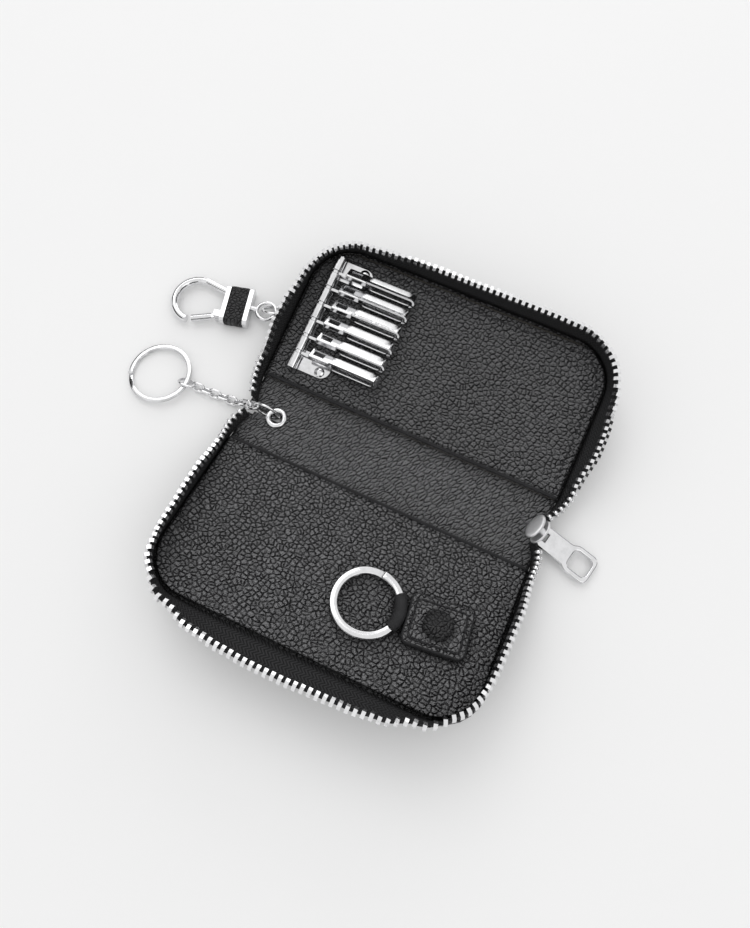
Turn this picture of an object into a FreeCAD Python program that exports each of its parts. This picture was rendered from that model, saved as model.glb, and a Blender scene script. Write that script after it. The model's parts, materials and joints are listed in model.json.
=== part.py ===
import FreeCAD, Part
import os
from math import cos, hypot, pi, radians, sin

import Sketcher
from FreeCAD import Placement, Rotation, Vector

# Driving dimensions, in millimetres and degrees
SIZES = {
    "overrun": 1.0,
    "touch_gap": 0.05,
    "run_clear": 0.06,
    "spine_width": 24.3,
    "spine_inset": 1.0,
    "cover_thick": 1.6,
    "lining_thick": 1.2,
    "board_thick": 1.2,
    "panel_thick": 1.6,
    "fold_gap": 0.3,
    "open_tilt_deg": 12.6,
    "cover_length": 123.0,
    "upper_depth": 62.5,
    "lower_depth": 65.5,
    "cover_corner": 18.0,
    "board_margin": 2.5,
    "board_setback": 2.0,
    "panel_margin": 2.25,
    "panel_setback": 2.2,
    "upper_panel_margin": 3.3,
    "lower_panel_margin": 2.1,
    "upper_panel_corner": 14.0,
    "lower_panel_corner": 15.5,
    "upper_shift": 0.3,
    "lining_inset": 1.0,
    "tape_thick": 0.8,
    "tape_width": 9.0,
    "tape_low_width": 5.0,
    "tape_inset": 0.5,
    "tape_start": 8.0,
    "tape_rise": 16.0,
    "tape_step": 4.0,
    "tape_foot_gap": 0.2,
    "tooth_pitch": 2.5,
    "tooth_thick": 1.3,
    "tooth_depth": 2.8,
    "tooth_height": 2.2,
    "tooth_gap": 0.3,
    "spine_tape_height": 3.4,
    "spine_tape_gap": 10.0,
    "spine_tape_inset": 0.6,
    "spine_tape_lean": 1.5,
    "eyelet_inset": 12.7,
    "eyelet_flange": 4.1,
    "eyelet_bore": 2.2,
    "eyelet_wall": 0.4,
    "eyelet_rim": 0.6,
    "slot_width": 4.4,
    "slot_depth": 17.0,
    "notch_depth": 7.2,
    "eyelet_ring_radius": 5.0,
    "eyelet_ring_wire": 0.55,
    "eyelet_ring_lift": 5.72,
    "bar_inset": 10.9,
    "bar_start": 8.8,
    "bar_depth_share": 0.7392,
    "barrel_gap": 1.5,
    "barrel_radius": 2.0,
    "barrel_sink": 0.3,
    "pin_radius": 0.9,
    "pin_head": 0.6,
    "plate_thick": 0.6,
    "plate_back": 2.1,
    "plate_front": 2.1,
    "plate_tab_reach": 14.2,
    "plate_tab_width": 8.0,
    "plate_tab_corner": 3.8,
    "rivet_shank": 1.4,
    "rivet_head": 2.0,
    "rivet_inset": 2.2,
    "rivet_head_height": 0.8,
    "eye_radius": 1.6,
    "eye_width": 1.0,
    "neck_reach": 5.6,
    "neck_thick": 1.2,
    "head_start": 5.0,
    "head_length": 8.6,
    "head_width": 4.8,
    "head_height": 2.2,
    "window_start": 6.4,
    "window_length": 4.4,
    "window_width": 2.4,
    "arm_reach": 31.6,
    "arm_width": 3.6,
    "arm_thick": 0.8,
    "arm_lift": 2.4,
    "bend_radius": 1.9,
    "gate_thick": 0.5,
    "gate_start": 14.6,
    "gate_gap": 0.25,
    "hook_roll_deg": 34.0,
    "tab_length": 22.0,
    "tab_width": 18.2,
    "tab_thick": 2.6,
    "tab_corner": 3.0,
    "tab_along": 38.3,
    "tab_across": 36.4,
    "tab_turn_deg": 7.0,
    "tab_seat_gap": 0.3,
    "dome_radius": 5.2,
    "dome_height": 3.0,
    "socket_radius": 3.6,
    "socket_height": 0.9,
    "stud_radius": 1.6,
    "stud_height": 1.1,
    "loop_arc_deg": 64.0,
    "loop_radius": 2.2,
    "loop_bore": 1.65,
    "fob_ring_outer": 12.5,
    "fob_ring_width": 2.5,
    "fob_ring_height": 1.6,
    "slider_setback": 4.0,
    "slider_length": 6.4,
    "slider_width": 10.0,
    "slider_plate": 1.0,
    "slider_throat": 2.6,
    "slider_post": 2.2,
    "slider_post_place": 3.4,
    "slider_lift": 1.5,
    "slider_corner": 3.0,
    "slider_slope_deg": 48.0,
    "lug_place": 0.6,
    "lug_length": 3.4,
    "lug_width": 3.0,
    "lug_height": 2.3,
    "lug_pin_depth": 1.45,
    "pull_thick": 1.9,
    "pull_bearing_deg": 12.0,
    "pull_root_length": 12.4,
    "pull_root_width": 8.4,
    "pull_frame_length": 11.0,
    "pull_frame_width": 11.2,
    "pull_frame_corner": 2.6,
    "pull_window_length": 8.0,
    "pull_window_width": 7.2,
    "pull_window_corner": 1.8,
    "pull_slot_width": 3.4,
    "pull_slot_reach": 2.6,
    "pull_pin_radius": 0.75,
    "pull_drop_deg": 9.0,
    "link_length": 5.8,
    "link_width": 4.0,
    "link_wire": 0.5,
    "link_roll_deg": 45.0,
    "first_link_roll_deg": 14.0,
    "link_slack": 0.3,
    "link_lift": 0.15,
    "chain_drop_deg": 24.0,
    "chain_bearing_deg": 3.0,
    "end_ring_length": 8.0,
    "end_ring_width": 6.2,
    "end_ring_wire": 0.5,
    "key_ring_outer": 12.5,
    "key_ring_width": 1.8,
    "key_ring_height": 1.6,
    "key_ring_lift": 0.1,
    "key_ring_hold": 0.6,
    "strap_along": 29.0,
    "strap_width": 3.0,
    "strap_drop": 2.4,
    "strap_reach": 3.4,
    "strap_radius": 2.85,
    "strap_bore": 2.05,
    "link_ring_radius": 4.6,
    "link_ring_wire": 0.65,
    "link_ring_roll_deg": 45.0,
    "link_ring_overlap": 4.8,
    "hook_bearing_deg": 194.8,
    "collar_length": 7.6,
    "collar_width": 16.6,
    "collar_height": 5.0,
    "collar_core_width": 11.4,
    "collar_core_height": 3.8,
    "frame_plate": 1.7,
    "frame_corner": 1.4,
    "swivel_post": 1.3,
    "swivel_post_length": 5.0,
    "swivel_gap": 2.4,
    "swivel_eye_radius": 3.8,
    "swivel_eye_wire": 0.75,
    "bow_wire": 1.6,
    "bow_foot": 5.4,
    "bow_swell": 9.0,
    "bow_swell_place": 9.0,
    "bow_reach": 22.0,
    "bow_nose_place": 13.5,
    "hinge_lug": 2.6,
    "gate_radius": 1.5,
    "gate_pin_radius": 0.5,
    "gate_nose_gap": 0.5,
    "hook_lift": 0.1,
}
HOOK_COUNT = 6
LINK_COUNT = 8
# Outward lean of the zip tape, in degrees at even steps round each half from its left fold
UPPER_LEANS_DEG = [18, 13, 9, 0, -10, -11, -4, 2, 7, 9, 9, 10, 11, 11, 9, 5, 9, 20, 29, 31, 33]
LOWER_LEANS_DEG = [5, 5, 2, -1, -7, 1, 24, 47, 57, 62, 68, 69, 64, 52, 28, 2, -9, -7, -4, -3, 0]
# Sizes that follow from the driving ones
FOLLOWING = {
    "spine_length": "cover_length - 2 * spine_inset",
    "lining_length": "spine_length - 2 * lining_inset",
    "panel_length": "cover_length - 2 * panel_margin",
    "upper_panel_depth": "upper_depth - panel_setback - upper_panel_margin",
    "lower_panel_depth": "lower_depth - panel_setback - lower_panel_margin",
    "eyelet_place": "spine_length / 2 - eyelet_inset",
    "bar_place": "cover_length / 2 - bar_inset",
    "barrel_length": f"(upper_depth * bar_depth_share - {HOOK_COUNT} * barrel_gap) / ({HOOK_COUNT} + 1)",
}

doc = FreeCAD.newDocument("key_case")
sheet = doc.addObject("Spreadsheet::Sheet", "sizes")
for row, (alias, value) in enumerate(SIZES.items(), start=1):
    sheet.set(f"A{row}", alias)
    sheet.set(f"B{row}", str(value))
    sheet.setAlias(f"B{row}", alias)
for row, (alias, formula) in enumerate(FOLLOWING.items(), start=len(SIZES) + 1):
    sheet.set(f"A{row}", alias)
    sheet.set(f"B{row}", "=" + formula)
    sheet.setAlias(f"B{row}", alias)
doc.recompute()

ALONG = Vector(1, 0, 0)
ACROSS = Vector(0, 1, 0)
UP = Vector(0, 0, 1)
nodes = []


def turn(axis, degrees, centre=Vector(0, 0, 0)):
    """A placement that turns about an axis through a centre."""
    return Placement(Vector(0, 0, 0), Rotation(axis, degrees), centre)


def shift(x=0, y=0, z=0):
    """A placement that only moves."""
    return Placement(Vector(x, y, z), Rotation())


def keep(item, label, place=Placement()):
    """Name a finished sub-part, set it in place and list it."""
    item.Label = label
    item.Placement = place
    nodes.append(item)
    return item


def bind(item, **cells):
    """Tie properties of an object to cells of the sheet."""
    for name, formula in cells.items():
        item.setExpression(name, formula)
    return item


def cell(name):
    """A cell of the sheet as part of a formula."""
    return "sizes." + name


def primitive(kind, name, place=Placement(), **cells):
    """A simple solid whose sizes follow the sheet."""
    item = bind(doc.addObject("Part::" + kind, name), **cells)
    item.Placement = place
    return item


def joined(name, items):
    """Several solids fused into one piece."""
    item = doc.addObject("Part::MultiFuse", name)
    item.Shapes = items
    return item


def cut(name, base, tool):
    """A solid with another cut away."""
    item = doc.addObject("Part::Cut", name)
    item.Base = base
    item.Tool = tool
    return item


def formed(name, shape):
    """A piece whose form is worked out directly from the sizes."""
    item = doc.addObject("Part::Feature", name)
    item.Shape = shape
    return item


def outline_sketch(body, name, length, width, centred):
    """A rectangle on the body's ground plane, centred in x, starting at or centred on y = 0."""
    sketch = body.newObject("Sketcher::SketchObject", name)
    ground = next(f for f in body.Origin.OriginFeatures if f.Role == "XY_Plane")
    sketch.AttachmentSupport = [(ground, "")]
    sketch.MapMode = "FlatFace"
    corners = [(-1, 0), (1, 0), (1, 1), (-1, 1)]
    points = [Vector(x, y, 0) for x, y in corners]
    for here, there in zip(points, points[1:] + points[:1]):
        sketch.addGeometry(Part.LineSegment(here, there), False)
    for side in range(4):
        sketch.addConstraint(Sketcher.Constraint("Coincident", side, 2, (side + 1) % 4, 1))
    for side, kind in enumerate(["Horizontal", "Vertical", "Horizontal", "Vertical"]):
        sketch.addConstraint(Sketcher.Constraint(kind, side))
    if centred:
        sketch.addConstraint(Sketcher.Constraint("Symmetric", 0, 1, 1, 2, -1, 1))
    else:
        sketch.addConstraint(Sketcher.Constraint("Symmetric", 0, 1, 0, 2, -1, 1))
    run = sketch.addConstraint(Sketcher.Constraint("DistanceX", 0, 1, 0, 2, 1.0))
    rise = sketch.addConstraint(Sketcher.Constraint("DistanceY", 1, 1, 1, 2, 1.0))
    sketch.renameConstraint(run, "run")
    sketch.renameConstraint(rise, "rise")
    bind(sketch, **{"Constraints.run": length, "Constraints.rise": width})
    return sketch


def corner_edges(shape, far_only):
    """Names of a slab's upright edges, or of those on its far side only."""
    middle = shape.BoundBox.Center
    names = []
    for number, edge in enumerate(shape.Edges, start=1):
        box = edge.BoundBox
        if box.ZLength > box.XLength + box.YLength and not (far_only and box.Center.y < middle.y):
            names.append(f"Edge{number}")
    return names


def slab(name, length, width, thick, corner=None, far_only=False, centred=False):
    """A flat piece with rounded corners, as a body with an outline, a pad and a fillet."""
    body = doc.addObject("PartDesign::Body", name)
    sketch = outline_sketch(body, name + "_outline", length, width, centred)
    pad = body.newObject("PartDesign::Pad", name + "_pad")
    pad.Profile = sketch
    bind(pad, Length=thick)
    doc.recompute()
    if corner:
        fillet = body.newObject("PartDesign::Fillet", name + "_corners")
        fillet.Base = (pad, corner_edges(pad.Shape, far_only))
        bind(fillet, Radius=corner)
        doc.recompute()
    return body


def swept(path, radius, start, direction):
    """A round wire along a path of edges."""
    ring = Part.Wire(Part.makeCircle(radius, start, direction))
    return Part.Wire(path).makePipeShell([ring], True, True)


def oval(length, width, wire):
    """A flat oval link in the ground plane, long in x, centred."""
    round_radius = width / 2 - wire
    half = length / 2 - wire - round_radius
    a = Vector(-half, -round_radius, 0)
    b = Vector(half, -round_radius, 0)
    c = Vector(half, round_radius, 0)
    d = Vector(-half, round_radius, 0)
    path = [
        Part.LineSegment(a, b).toShape(),
        Part.Arc(b, Vector(half + round_radius, 0, 0), c).toShape(),
        Part.LineSegment(c, d).toShape(),
        Part.Arc(d, Vector(-half - round_radius, 0, 0), a).toShape(),
    ]
    return swept(path, wire, a, ALONG)


def band(outer, width, height):
    """A flat ring in the ground plane, centred."""
    low = Vector(0, 0, -height / 2)
    return Part.makeCylinder(outer, height, low).cut(Part.makeCylinder(outer - width, height, low))


def moved(shape, place):
    """A copy of a shape with a placement worked into it."""
    return shape.transformed(place.toMatrix(), True)


# Where each half sits: its own frame has x along the spine, y out from the fold, z up from the cover
half_spine = sheet.spine_width / 2
to_hinge = shift(0, half_spine, sheet.cover_thick)
from_hinge = shift(0, 0, -sheet.cover_thick)
UPPER = to_hinge * turn(ALONG, sheet.open_tilt_deg) * from_hinge
LOWER = turn(UP, 180) * UPPER
panel_base = sheet.cover_thick + sheet.board_thick
panel_top = panel_base + sheet.panel_thick

# Spine: outer leather, lining and eyelet, with the slot that the eyelet ring lies in
spine_block = slab("spine_block", cell("spine_length"), "sizes.spine_width - 2 * sizes.fold_gap",
                   cell("cover_thick"), centred=True)
ring_slot = primitive(
    "Box", "ring_slot",
    shift(-sheet.spine_length / 2 - sheet.overrun, -sheet.slot_width / 2, -sheet.overrun),
    Length="sizes.slot_depth + sizes.overrun", Width=cell("slot_width"),
    Height="sizes.cover_thick + 2 * sizes.overrun")
keep(cut("spine_cover_cut", spine_block, ring_slot), "spine_cover")

lining_block = slab("lining_block", cell("lining_length"), "sizes.spine_width - 2 * sizes.fold_gap",
                    cell("lining_thick"), centred=True)
eyelet_hole = primitive(
    "Cylinder", "eyelet_hole", shift(-sheet.eyelet_place, 0, -sheet.overrun),
    Radius="sizes.eyelet_bore + sizes.eyelet_wall + sizes.touch_gap",
    Height="sizes.lining_thick + 2 * sizes.overrun")
lining_notch = primitive(
    "Box", "lining_notch",
    shift(-sheet.lining_length / 2 - sheet.overrun, -sheet.slot_width / 2, -sheet.overrun),
    Length="sizes.notch_depth + sizes.overrun",
    Width=cell("slot_width"), Height="sizes.lining_thick + 2 * sizes.overrun")
lining_cuts = joined("lining_cuts", [eyelet_hole, lining_notch])
keep(cut("spine_lining_cut", lining_block, lining_cuts), "spine_lining", shift(0, 0, sheet.cover_thick))

eyelet_tube = primitive(
    "Cylinder", "eyelet_tube", Radius="sizes.eyelet_bore + sizes.eyelet_wall",
    Height="sizes.lining_thick + sizes.eyelet_rim")
eyelet_rim = primitive(
    "Cylinder", "eyelet_rim", shift(0, 0, sheet.lining_thick + sheet.touch_gap),
    Radius=cell("eyelet_flange"), Height="sizes.eyelet_rim - sizes.touch_gap")
eyelet_bore = primitive(
    "Cylinder", "eyelet_bore", shift(0, 0, -sheet.overrun), Radius=cell("eyelet_bore"),
    Height="sizes.lining_thick + sizes.eyelet_rim + 2 * sizes.overrun")
keep(cut("eyelet_cut", joined("eyelet_whole", [eyelet_tube, eyelet_rim]), eyelet_bore), "eyelet",
     shift(-sheet.eyelet_place, 0, sheet.cover_thick))


# Covers, boards and panels of the two halves
def half_slabs(half, place, panel_place, depth, panel_depth, panel_corner):
    """The outer leather, the stiffening board and the inner panel of one half."""
    cover = slab(half + "_cover_body", cell("cover_length"), f"sizes.{depth} - sizes.fold_gap",
                 cell("cover_thick"), cell("cover_corner"), far_only=True)
    keep(cover, half + "_cover", place * shift(0, sheet.fold_gap, 0))
    board = slab(half + "_board_body", "sizes.cover_length - 2 * sizes.board_margin",
                 f"sizes.{depth} - sizes.board_setback - sizes.board_margin", cell("board_thick"),
                 "sizes.cover_corner - sizes.board_margin", far_only=True)
    keep(board, half + "_board", place * shift(0, sheet.board_setback, sheet.cover_thick))
    panel = slab(half + "_panel_body", cell("panel_length"), cell(panel_depth), cell("panel_thick"),
                 cell(panel_corner), far_only=True)
    keep(panel, half + "_panel", place * panel_place)


half_slabs("upper", UPPER, shift(sheet.upper_shift, sheet.panel_setback, panel_base),
           "upper_depth", "upper_panel_depth", "upper_panel_corner")
half_slabs("lower", LOWER, shift(0, sheet.panel_setback, panel_base),
           "lower_depth", "lower_panel_depth", "lower_panel_corner")


# Zip tapes and teeth: a rim that follows the cover's edge and leans outwards side by side
def rim_point(depth, run):
    """Point and outward direction at a run along the rim, from the left fold round to the right."""
    inset = sheet.tape_inset + sheet.tape_thick / 2
    half_length = sheet.cover_length / 2 - inset
    far = depth - inset
    radius = sheet.cover_corner - inset
    side = far - radius - sheet.tape_start
    top = 2 * (half_length - radius)
    bend = radius * pi / 2
    if run <= side:
        return Vector(-half_length, sheet.tape_start + run, 0), Vector(-1, 0, 0)
    if run <= side + bend:
        angle = (run - side) / radius
        out = Vector(-cos(angle), sin(angle), 0)
        return Vector(-half_length + radius, far - radius, 0) + out * radius, out
    if run <= side + bend + top:
        return Vector(-half_length + radius + run - side - bend, far, 0), Vector(0, 1, 0)
    if run <= side + 2 * bend + top:
        angle = (run - side - bend - top) / radius
        out = Vector(sin(angle), cos(angle), 0)
        return Vector(half_length - radius, far - radius, 0) + out * radius, out
    down = run - side - 2 * bend - top
    return Vector(half_length, far - radius - down, 0), Vector(1, 0, 0)


def rim_length(depth):
    """Length of the rim from one end to the other."""
    inset = sheet.tape_inset + sheet.tape_thick / 2
    radius = sheet.cover_corner - inset
    side = depth - inset - radius - sheet.tape_start
    return 2 * side + radius * pi + 2 * (sheet.cover_length / 2 - inset - radius)


def ease(share):
    """A smooth step from 0 to 1."""
    share = min(max(share, 0.0), 1.0)
    return share * share * (3 - 2 * share)


def lean_at(leans, share):
    """Lean of the tape at a share of the way round."""
    place = min(max(share, 0.0), 1.0) * (len(leans) - 1)
    first = min(int(place), len(leans) - 2)
    return radians(leans[first] + (leans[first + 1] - leans[first]) * ease(place - first))


def rim_frame(depth, leans, run):
    """Foot of the tape, its outward normal, the way up the tape and the tape's width at a run."""
    foot, out = rim_point(depth, run)
    lean = lean_at(leans, run / rim_length(depth))
    up = UP * cos(lean) + out * sin(lean)
    face = out * cos(lean) - UP * sin(lean)
    from_end = min(run, rim_length(depth) - run)
    share = ease(from_end / sheet.tape_rise)
    width = sheet.tape_low_width + (sheet.tape_width - sheet.tape_low_width) * share
    return foot + UP * sheet.cover_thick, face, up, width


def foot_lift(face):
    """How far the tape's middle line starts above the cover, so that its lower edge just clears it."""
    return sheet.tape_foot_gap + abs(face.z) * sheet.tape_thick / 2


def tape_wall(depth, leans):
    """The woven tape as one wall through its cross-sections."""
    length = rim_length(depth)
    count = int(length / sheet.tape_step)
    sections = []
    for step in range(count + 1):
        foot, face, up, width = rim_frame(depth, leans, length * step / count)
        foot = foot + UP * foot_lift(face)
        side = face * (sheet.tape_thick / 2)
        corners = [foot - side, foot + side, foot + side + up * width, foot - side + up * width]
        sections.append(Part.makePolygon(corners + corners[:1]))
    return Part.makeLoft(sections, True, True)


def tooth_block():
    """One tooth: a block with a tapered nose, standing on the tape's edge."""
    thick = sheet.tooth_thick / 2
    depth = sheet.tooth_depth / 2
    nose = depth / 2
    side = [(-depth, 0), (depth, 0), (depth, sheet.tooth_height / 2), (nose, sheet.tooth_height),
            (-nose, sheet.tooth_height), (-depth, sheet.tooth_height / 2)]
    points = [Vector(-thick, y, z) for y, z in side]
    face = Part.Face(Part.makePolygon(points + points[:1]))
    return face.extrude(Vector(sheet.tooth_thick, 0, 0))


def teeth_row(depth, leans):
    """Teeth at an even pitch along the edge of the tape."""
    length = rim_length(depth)
    count = int((length - sheet.tooth_pitch) / sheet.tooth_pitch)
    block = tooth_block()
    teeth = []
    for number in range(count + 1):
        run = sheet.tooth_pitch / 2 + (length - sheet.tooth_pitch) * number / count
        foot, face, up, width = rim_frame(depth, leans, run)
        stand = Rotation(face.cross(up), face, up, "ZXY")
        tooth = block.copy()
        tooth.Placement = Placement(foot + UP * foot_lift(face) + up * (width + sheet.tooth_gap), stand)
        teeth.append(tooth)
    return Part.makeCompound(teeth)


for half, place, depth, leans in (
    ("upper", UPPER, sheet.upper_depth, UPPER_LEANS_DEG),
    ("lower", LOWER, sheet.lower_depth, LOWER_LEANS_DEG),
):
    keep(formed(half + "_tape_form", tape_wall(depth, leans)), half + "_zip_tape", place)
    keep(formed(half + "_teeth_form", teeth_row(depth, leans)), half + "_zip_teeth", place)


# Tape ends across the spine, low beside the slider and the chain
def spine_tapes():
    """Four short walls, two at each end of the spine, drawn in towards its middle line."""
    height = sheet.spine_tape_height
    reach = half_spine - panel_top - sheet.fold_gap
    start = sheet.spine_length / 2 - sheet.spine_tape_inset
    end = start - sheet.spine_tape_lean
    gap = sheet.spine_tape_gap / 2
    corners = [Vector(start, reach, 0), Vector(end, gap, 0), Vector(end - sheet.tape_thick, gap, 0),
               Vector(start - sheet.tape_thick, reach, 0)]
    face = Part.Face(Part.makePolygon(corners + corners[:1]))
    face.translate(UP * (sheet.cover_thick + sheet.lining_thick + sheet.touch_gap))
    wall = face.extrude(UP * height)
    walls = []
    for flip_x, flip_y in ((False, False), (False, True), (True, False), (True, True)):
        piece = wall.copy()
        if flip_x:
            piece = piece.mirror(Vector(0, 0, 0), ALONG)
        if flip_y:
            piece = piece.mirror(Vector(0, 0, 0), ACROSS)
        walls.append(piece)
    return Part.makeCompound(walls)


keep(formed("spine_tapes_form", spine_tapes()), "spine_zip_tapes")

# Key row: a riveted plate with rolled barrels, and the pin that the hooks turn on
bar_pitch = sheet.barrel_length + sheet.barrel_gap
bar_length = HOOK_COUNT * bar_pitch + sheet.barrel_length
BAR_FORMULA = f"{HOOK_COUNT} * (sizes.barrel_length + sizes.barrel_gap) + sizes.barrel_length"
pin_height = sheet.plate_thick + sheet.barrel_radius - sheet.barrel_sink
BAR = UPPER * shift(-sheet.bar_place, sheet.bar_start, panel_top)
ON_PIN = turn(ALONG, -90)

plate_strip = primitive(
    "Box", "plate_strip", shift(-sheet.plate_back, 0, 0),
    Length="sizes.plate_back + sizes.plate_front", Width=BAR_FORMULA, Height=cell("plate_thick"))
plate_parts = [plate_strip]
rivet_places = []
for end in range(2):
    low_side = end * (bar_length - sheet.plate_tab_width)
    tab = slab(f"plate_tab_{end}", "2 * sizes.plate_tab_reach", cell("plate_tab_width"),
               cell("plate_thick"), cell("plate_tab_corner"))
    tab.Placement = shift(0, low_side, 0)
    trim = primitive(
        "Box", f"plate_trim_{end}", shift(0, low_side, 0), Length=cell("plate_tab_reach"),
        Width=cell("plate_tab_width"), Height=cell("plate_thick"))
    side = doc.addObject("Part::MultiCommon", f"plate_side_{end}")
    side.Shapes = [tab, trim]
    plate_parts.append(side)
    rivet_side = sheet.rivet_inset if end == 0 else bar_length - sheet.rivet_inset
    rivet_places.append((sheet.plate_tab_reach - sheet.plate_tab_corner, rivet_side))
barrel_whole = primitive(
    "Cylinder", "barrel_whole", shift(0, 0, pin_height) * ON_PIN, Radius=cell("barrel_radius"),
    Height=BAR_FORMULA)
plate_parts.append(barrel_whole)
plate_cuts = [primitive(
    "Cylinder", "barrel_bore", shift(0, -sheet.overrun, pin_height) * ON_PIN,
    Radius="sizes.pin_radius + sizes.touch_gap", Height=BAR_FORMULA + " + 2 * sizes.overrun")]
for gap in range(HOOK_COUNT):
    low_side = sheet.barrel_length + gap * bar_pitch
    plate_cuts.append(primitive(
        "Box", f"barrel_gap_{gap}", shift(-sheet.barrel_radius - sheet.overrun, low_side, sheet.plate_thick),
        Length="2 * (sizes.barrel_radius + sizes.overrun)", Width=cell("barrel_gap"),
        Height="2 * sizes.barrel_radius + sizes.overrun"))
for number, (x, y) in enumerate(rivet_places):
    plate_cuts.append(primitive(
        "Cylinder", f"rivet_hole_{number}", shift(x, y, -sheet.overrun),
        Radius="sizes.rivet_shank + sizes.touch_gap", Height="sizes.plate_thick + 2 * sizes.overrun"))
keep(cut("key_row_cut", joined("key_row_whole", plate_parts), joined("key_row_cuts", plate_cuts)),
     "key_row_plate", BAR)

pin_rod = primitive(
    "Cylinder", "pin_rod", shift(0, -sheet.pin_head, pin_height) * ON_PIN, Radius=cell("pin_radius"),
    Height=BAR_FORMULA + " + 2 * sizes.pin_head")
keep(joined("pin_whole", [pin_rod, primitive(
    "Cylinder", "pin_cap", shift(0, -sheet.pin_head, pin_height) * ON_PIN,
    Radius="sizes.barrel_radius - sizes.touch_gap", Height="sizes.pin_head - sizes.touch_gap")]),
     "key_row_pin", BAR)

rivet_parts = []
for number, (x, y) in enumerate(rivet_places):
    shank = Part.makeCylinder(sheet.rivet_shank, sheet.plate_thick, Vector(x, y, 0))
    cap_radius = (sheet.rivet_head ** 2 + sheet.rivet_head_height ** 2) / (2 * sheet.rivet_head_height)
    ball = Part.makeSphere(cap_radius, Vector(x, y, sheet.plate_thick + sheet.rivet_head_height - cap_radius))
    column = Part.makeCylinder(sheet.rivet_head, sheet.rivet_head_height, Vector(x, y, sheet.plate_thick))
    rivet_parts.append(shank.fuse(column.common(ball)).removeSplitter())
keep(formed("rivets_form", Part.makeCompound(rivet_parts)), "key_row_rivets", BAR)


# Key hooks: an eye on the pin, a windowed head, a long flat arm and a sprung gate
def hook_shape():
    """One hook along x with its eye on the origin; the loop is rolled about the hook's length."""
    eye = Part.makeCylinder(sheet.eye_radius, sheet.eye_width, Vector(0, -sheet.eye_width / 2, 0), ACROSS)
    neck_start = sheet.pin_radius + sheet.run_clear + sheet.touch_gap
    neck = Part.makeBox(
        sheet.neck_reach - neck_start, sheet.eye_width, sheet.neck_thick,
        Vector(neck_start, -sheet.eye_width / 2, -sheet.neck_thick / 2))
    bore = Part.makeCylinder(
        sheet.pin_radius + sheet.run_clear, sheet.eye_width + 2 * sheet.overrun,
        Vector(0, -sheet.eye_width / 2 - sheet.overrun, 0), ACROSS)
    head = Part.makeBox(
        sheet.head_length, sheet.head_width, sheet.head_height,
        Vector(sheet.head_start, -sheet.head_width / 2,
               sheet.arm_lift + sheet.arm_thick / 2 - sheet.head_height))
    rounded = head.makeFillet(sheet.arm_thick / 2, head.Edges)
    window = Part.makeBox(
        sheet.window_length, sheet.window_width, sheet.head_height + 2 * sheet.overrun,
        Vector(sheet.window_start, -sheet.window_width / 2,
               sheet.arm_lift + sheet.arm_thick / 2 - sheet.head_height - sheet.overrun))
    arm_start = sheet.head_start + sheet.head_length - sheet.arm_thick
    arm = Part.makeBox(
        sheet.arm_reach - arm_start, sheet.arm_width, sheet.arm_thick,
        Vector(arm_start, -sheet.arm_width / 2, sheet.arm_lift - sheet.arm_thick / 2))
    middle = sheet.arm_lift + sheet.arm_thick / 2 - sheet.bend_radius
    bend = Part.makeCylinder(
        sheet.bend_radius, sheet.arm_width, Vector(sheet.arm_reach, -sheet.arm_width / 2, middle), ACROSS)
    hollow = Part.makeCylinder(
        sheet.bend_radius - sheet.arm_thick, sheet.arm_width,
        Vector(sheet.arm_reach, -sheet.arm_width / 2, middle), ACROSS)
    front = Part.makeBox(
        sheet.bend_radius + sheet.overrun, sheet.arm_width, 2 * sheet.bend_radius + 2 * sheet.overrun,
        Vector(sheet.arm_reach, -sheet.arm_width / 2, middle - sheet.bend_radius - sheet.overrun))
    tip = bend.cut(hollow).common(front)
    loop = rounded.cut(window).fuse([arm, tip])
    loop = moved(loop, turn(ALONG, -sheet.hook_roll_deg))
    return eye.fuse([neck, loop]).cut(bore).removeSplitter()


def gate_shape():
    """The return arm of one hook, from the bent tip back under the head."""
    middle = sheet.arm_lift + sheet.arm_thick / 2 - sheet.bend_radius
    low = middle - sheet.bend_radius + sheet.arm_thick / 2 - sheet.gate_thick / 2
    gate = Part.makeBox(
        sheet.arm_reach - sheet.gate_gap - sheet.gate_start, sheet.arm_width, sheet.gate_thick,
        Vector(sheet.gate_start, -sheet.arm_width / 2, low))
    return moved(gate, turn(ALONG, -sheet.hook_roll_deg))


one_hook = hook_shape()
one_gate = gate_shape()
for number in range(HOOK_COUNT):
    along_pin = sheet.barrel_length + sheet.barrel_gap / 2 + number * bar_pitch
    place = BAR * shift(0, along_pin, pin_height)
    keep(formed(f"hook_form_{number}", one_hook), f"key_hook_{number + 1}", place)
    keep(formed(f"gate_form_{number}", one_gate), f"key_gate_{number + 1}", place)

# Fob tab: a stitched leather tab snapped to the lower panel, with its loop and split ring
FOB = (LOWER * shift(-sheet.tab_along, sheet.tab_across, panel_top)
       * turn(UP, sheet.tab_turn_deg))
stud = primitive("Cylinder", "stud_post", Radius=cell("stud_radius"), Height=cell("stud_height"))
keep(stud, "snap_stud", FOB)
tab_low = sheet.tab_seat_gap
tab_slab = slab("tab_slab", cell("tab_length"), cell("tab_width"), cell("tab_thick"), cell("tab_corner"),
                centred=True)
tab_slab.Placement = shift(0, 0, tab_low)
socket_room = primitive(
    "Cylinder", "socket_room", shift(0, 0, tab_low - sheet.overrun),
    Radius="sizes.socket_radius + sizes.touch_gap",
    Height="sizes.overrun + sizes.socket_height + sizes.touch_gap")
keep(cut("fob_tab_cut", tab_slab, socket_room), "fob_tab", FOB)
socket_cap = primitive("Cylinder", "socket_cap", shift(0, 0, tab_low), Radius=cell("socket_radius"),
                       Height=cell("socket_height"))
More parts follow.
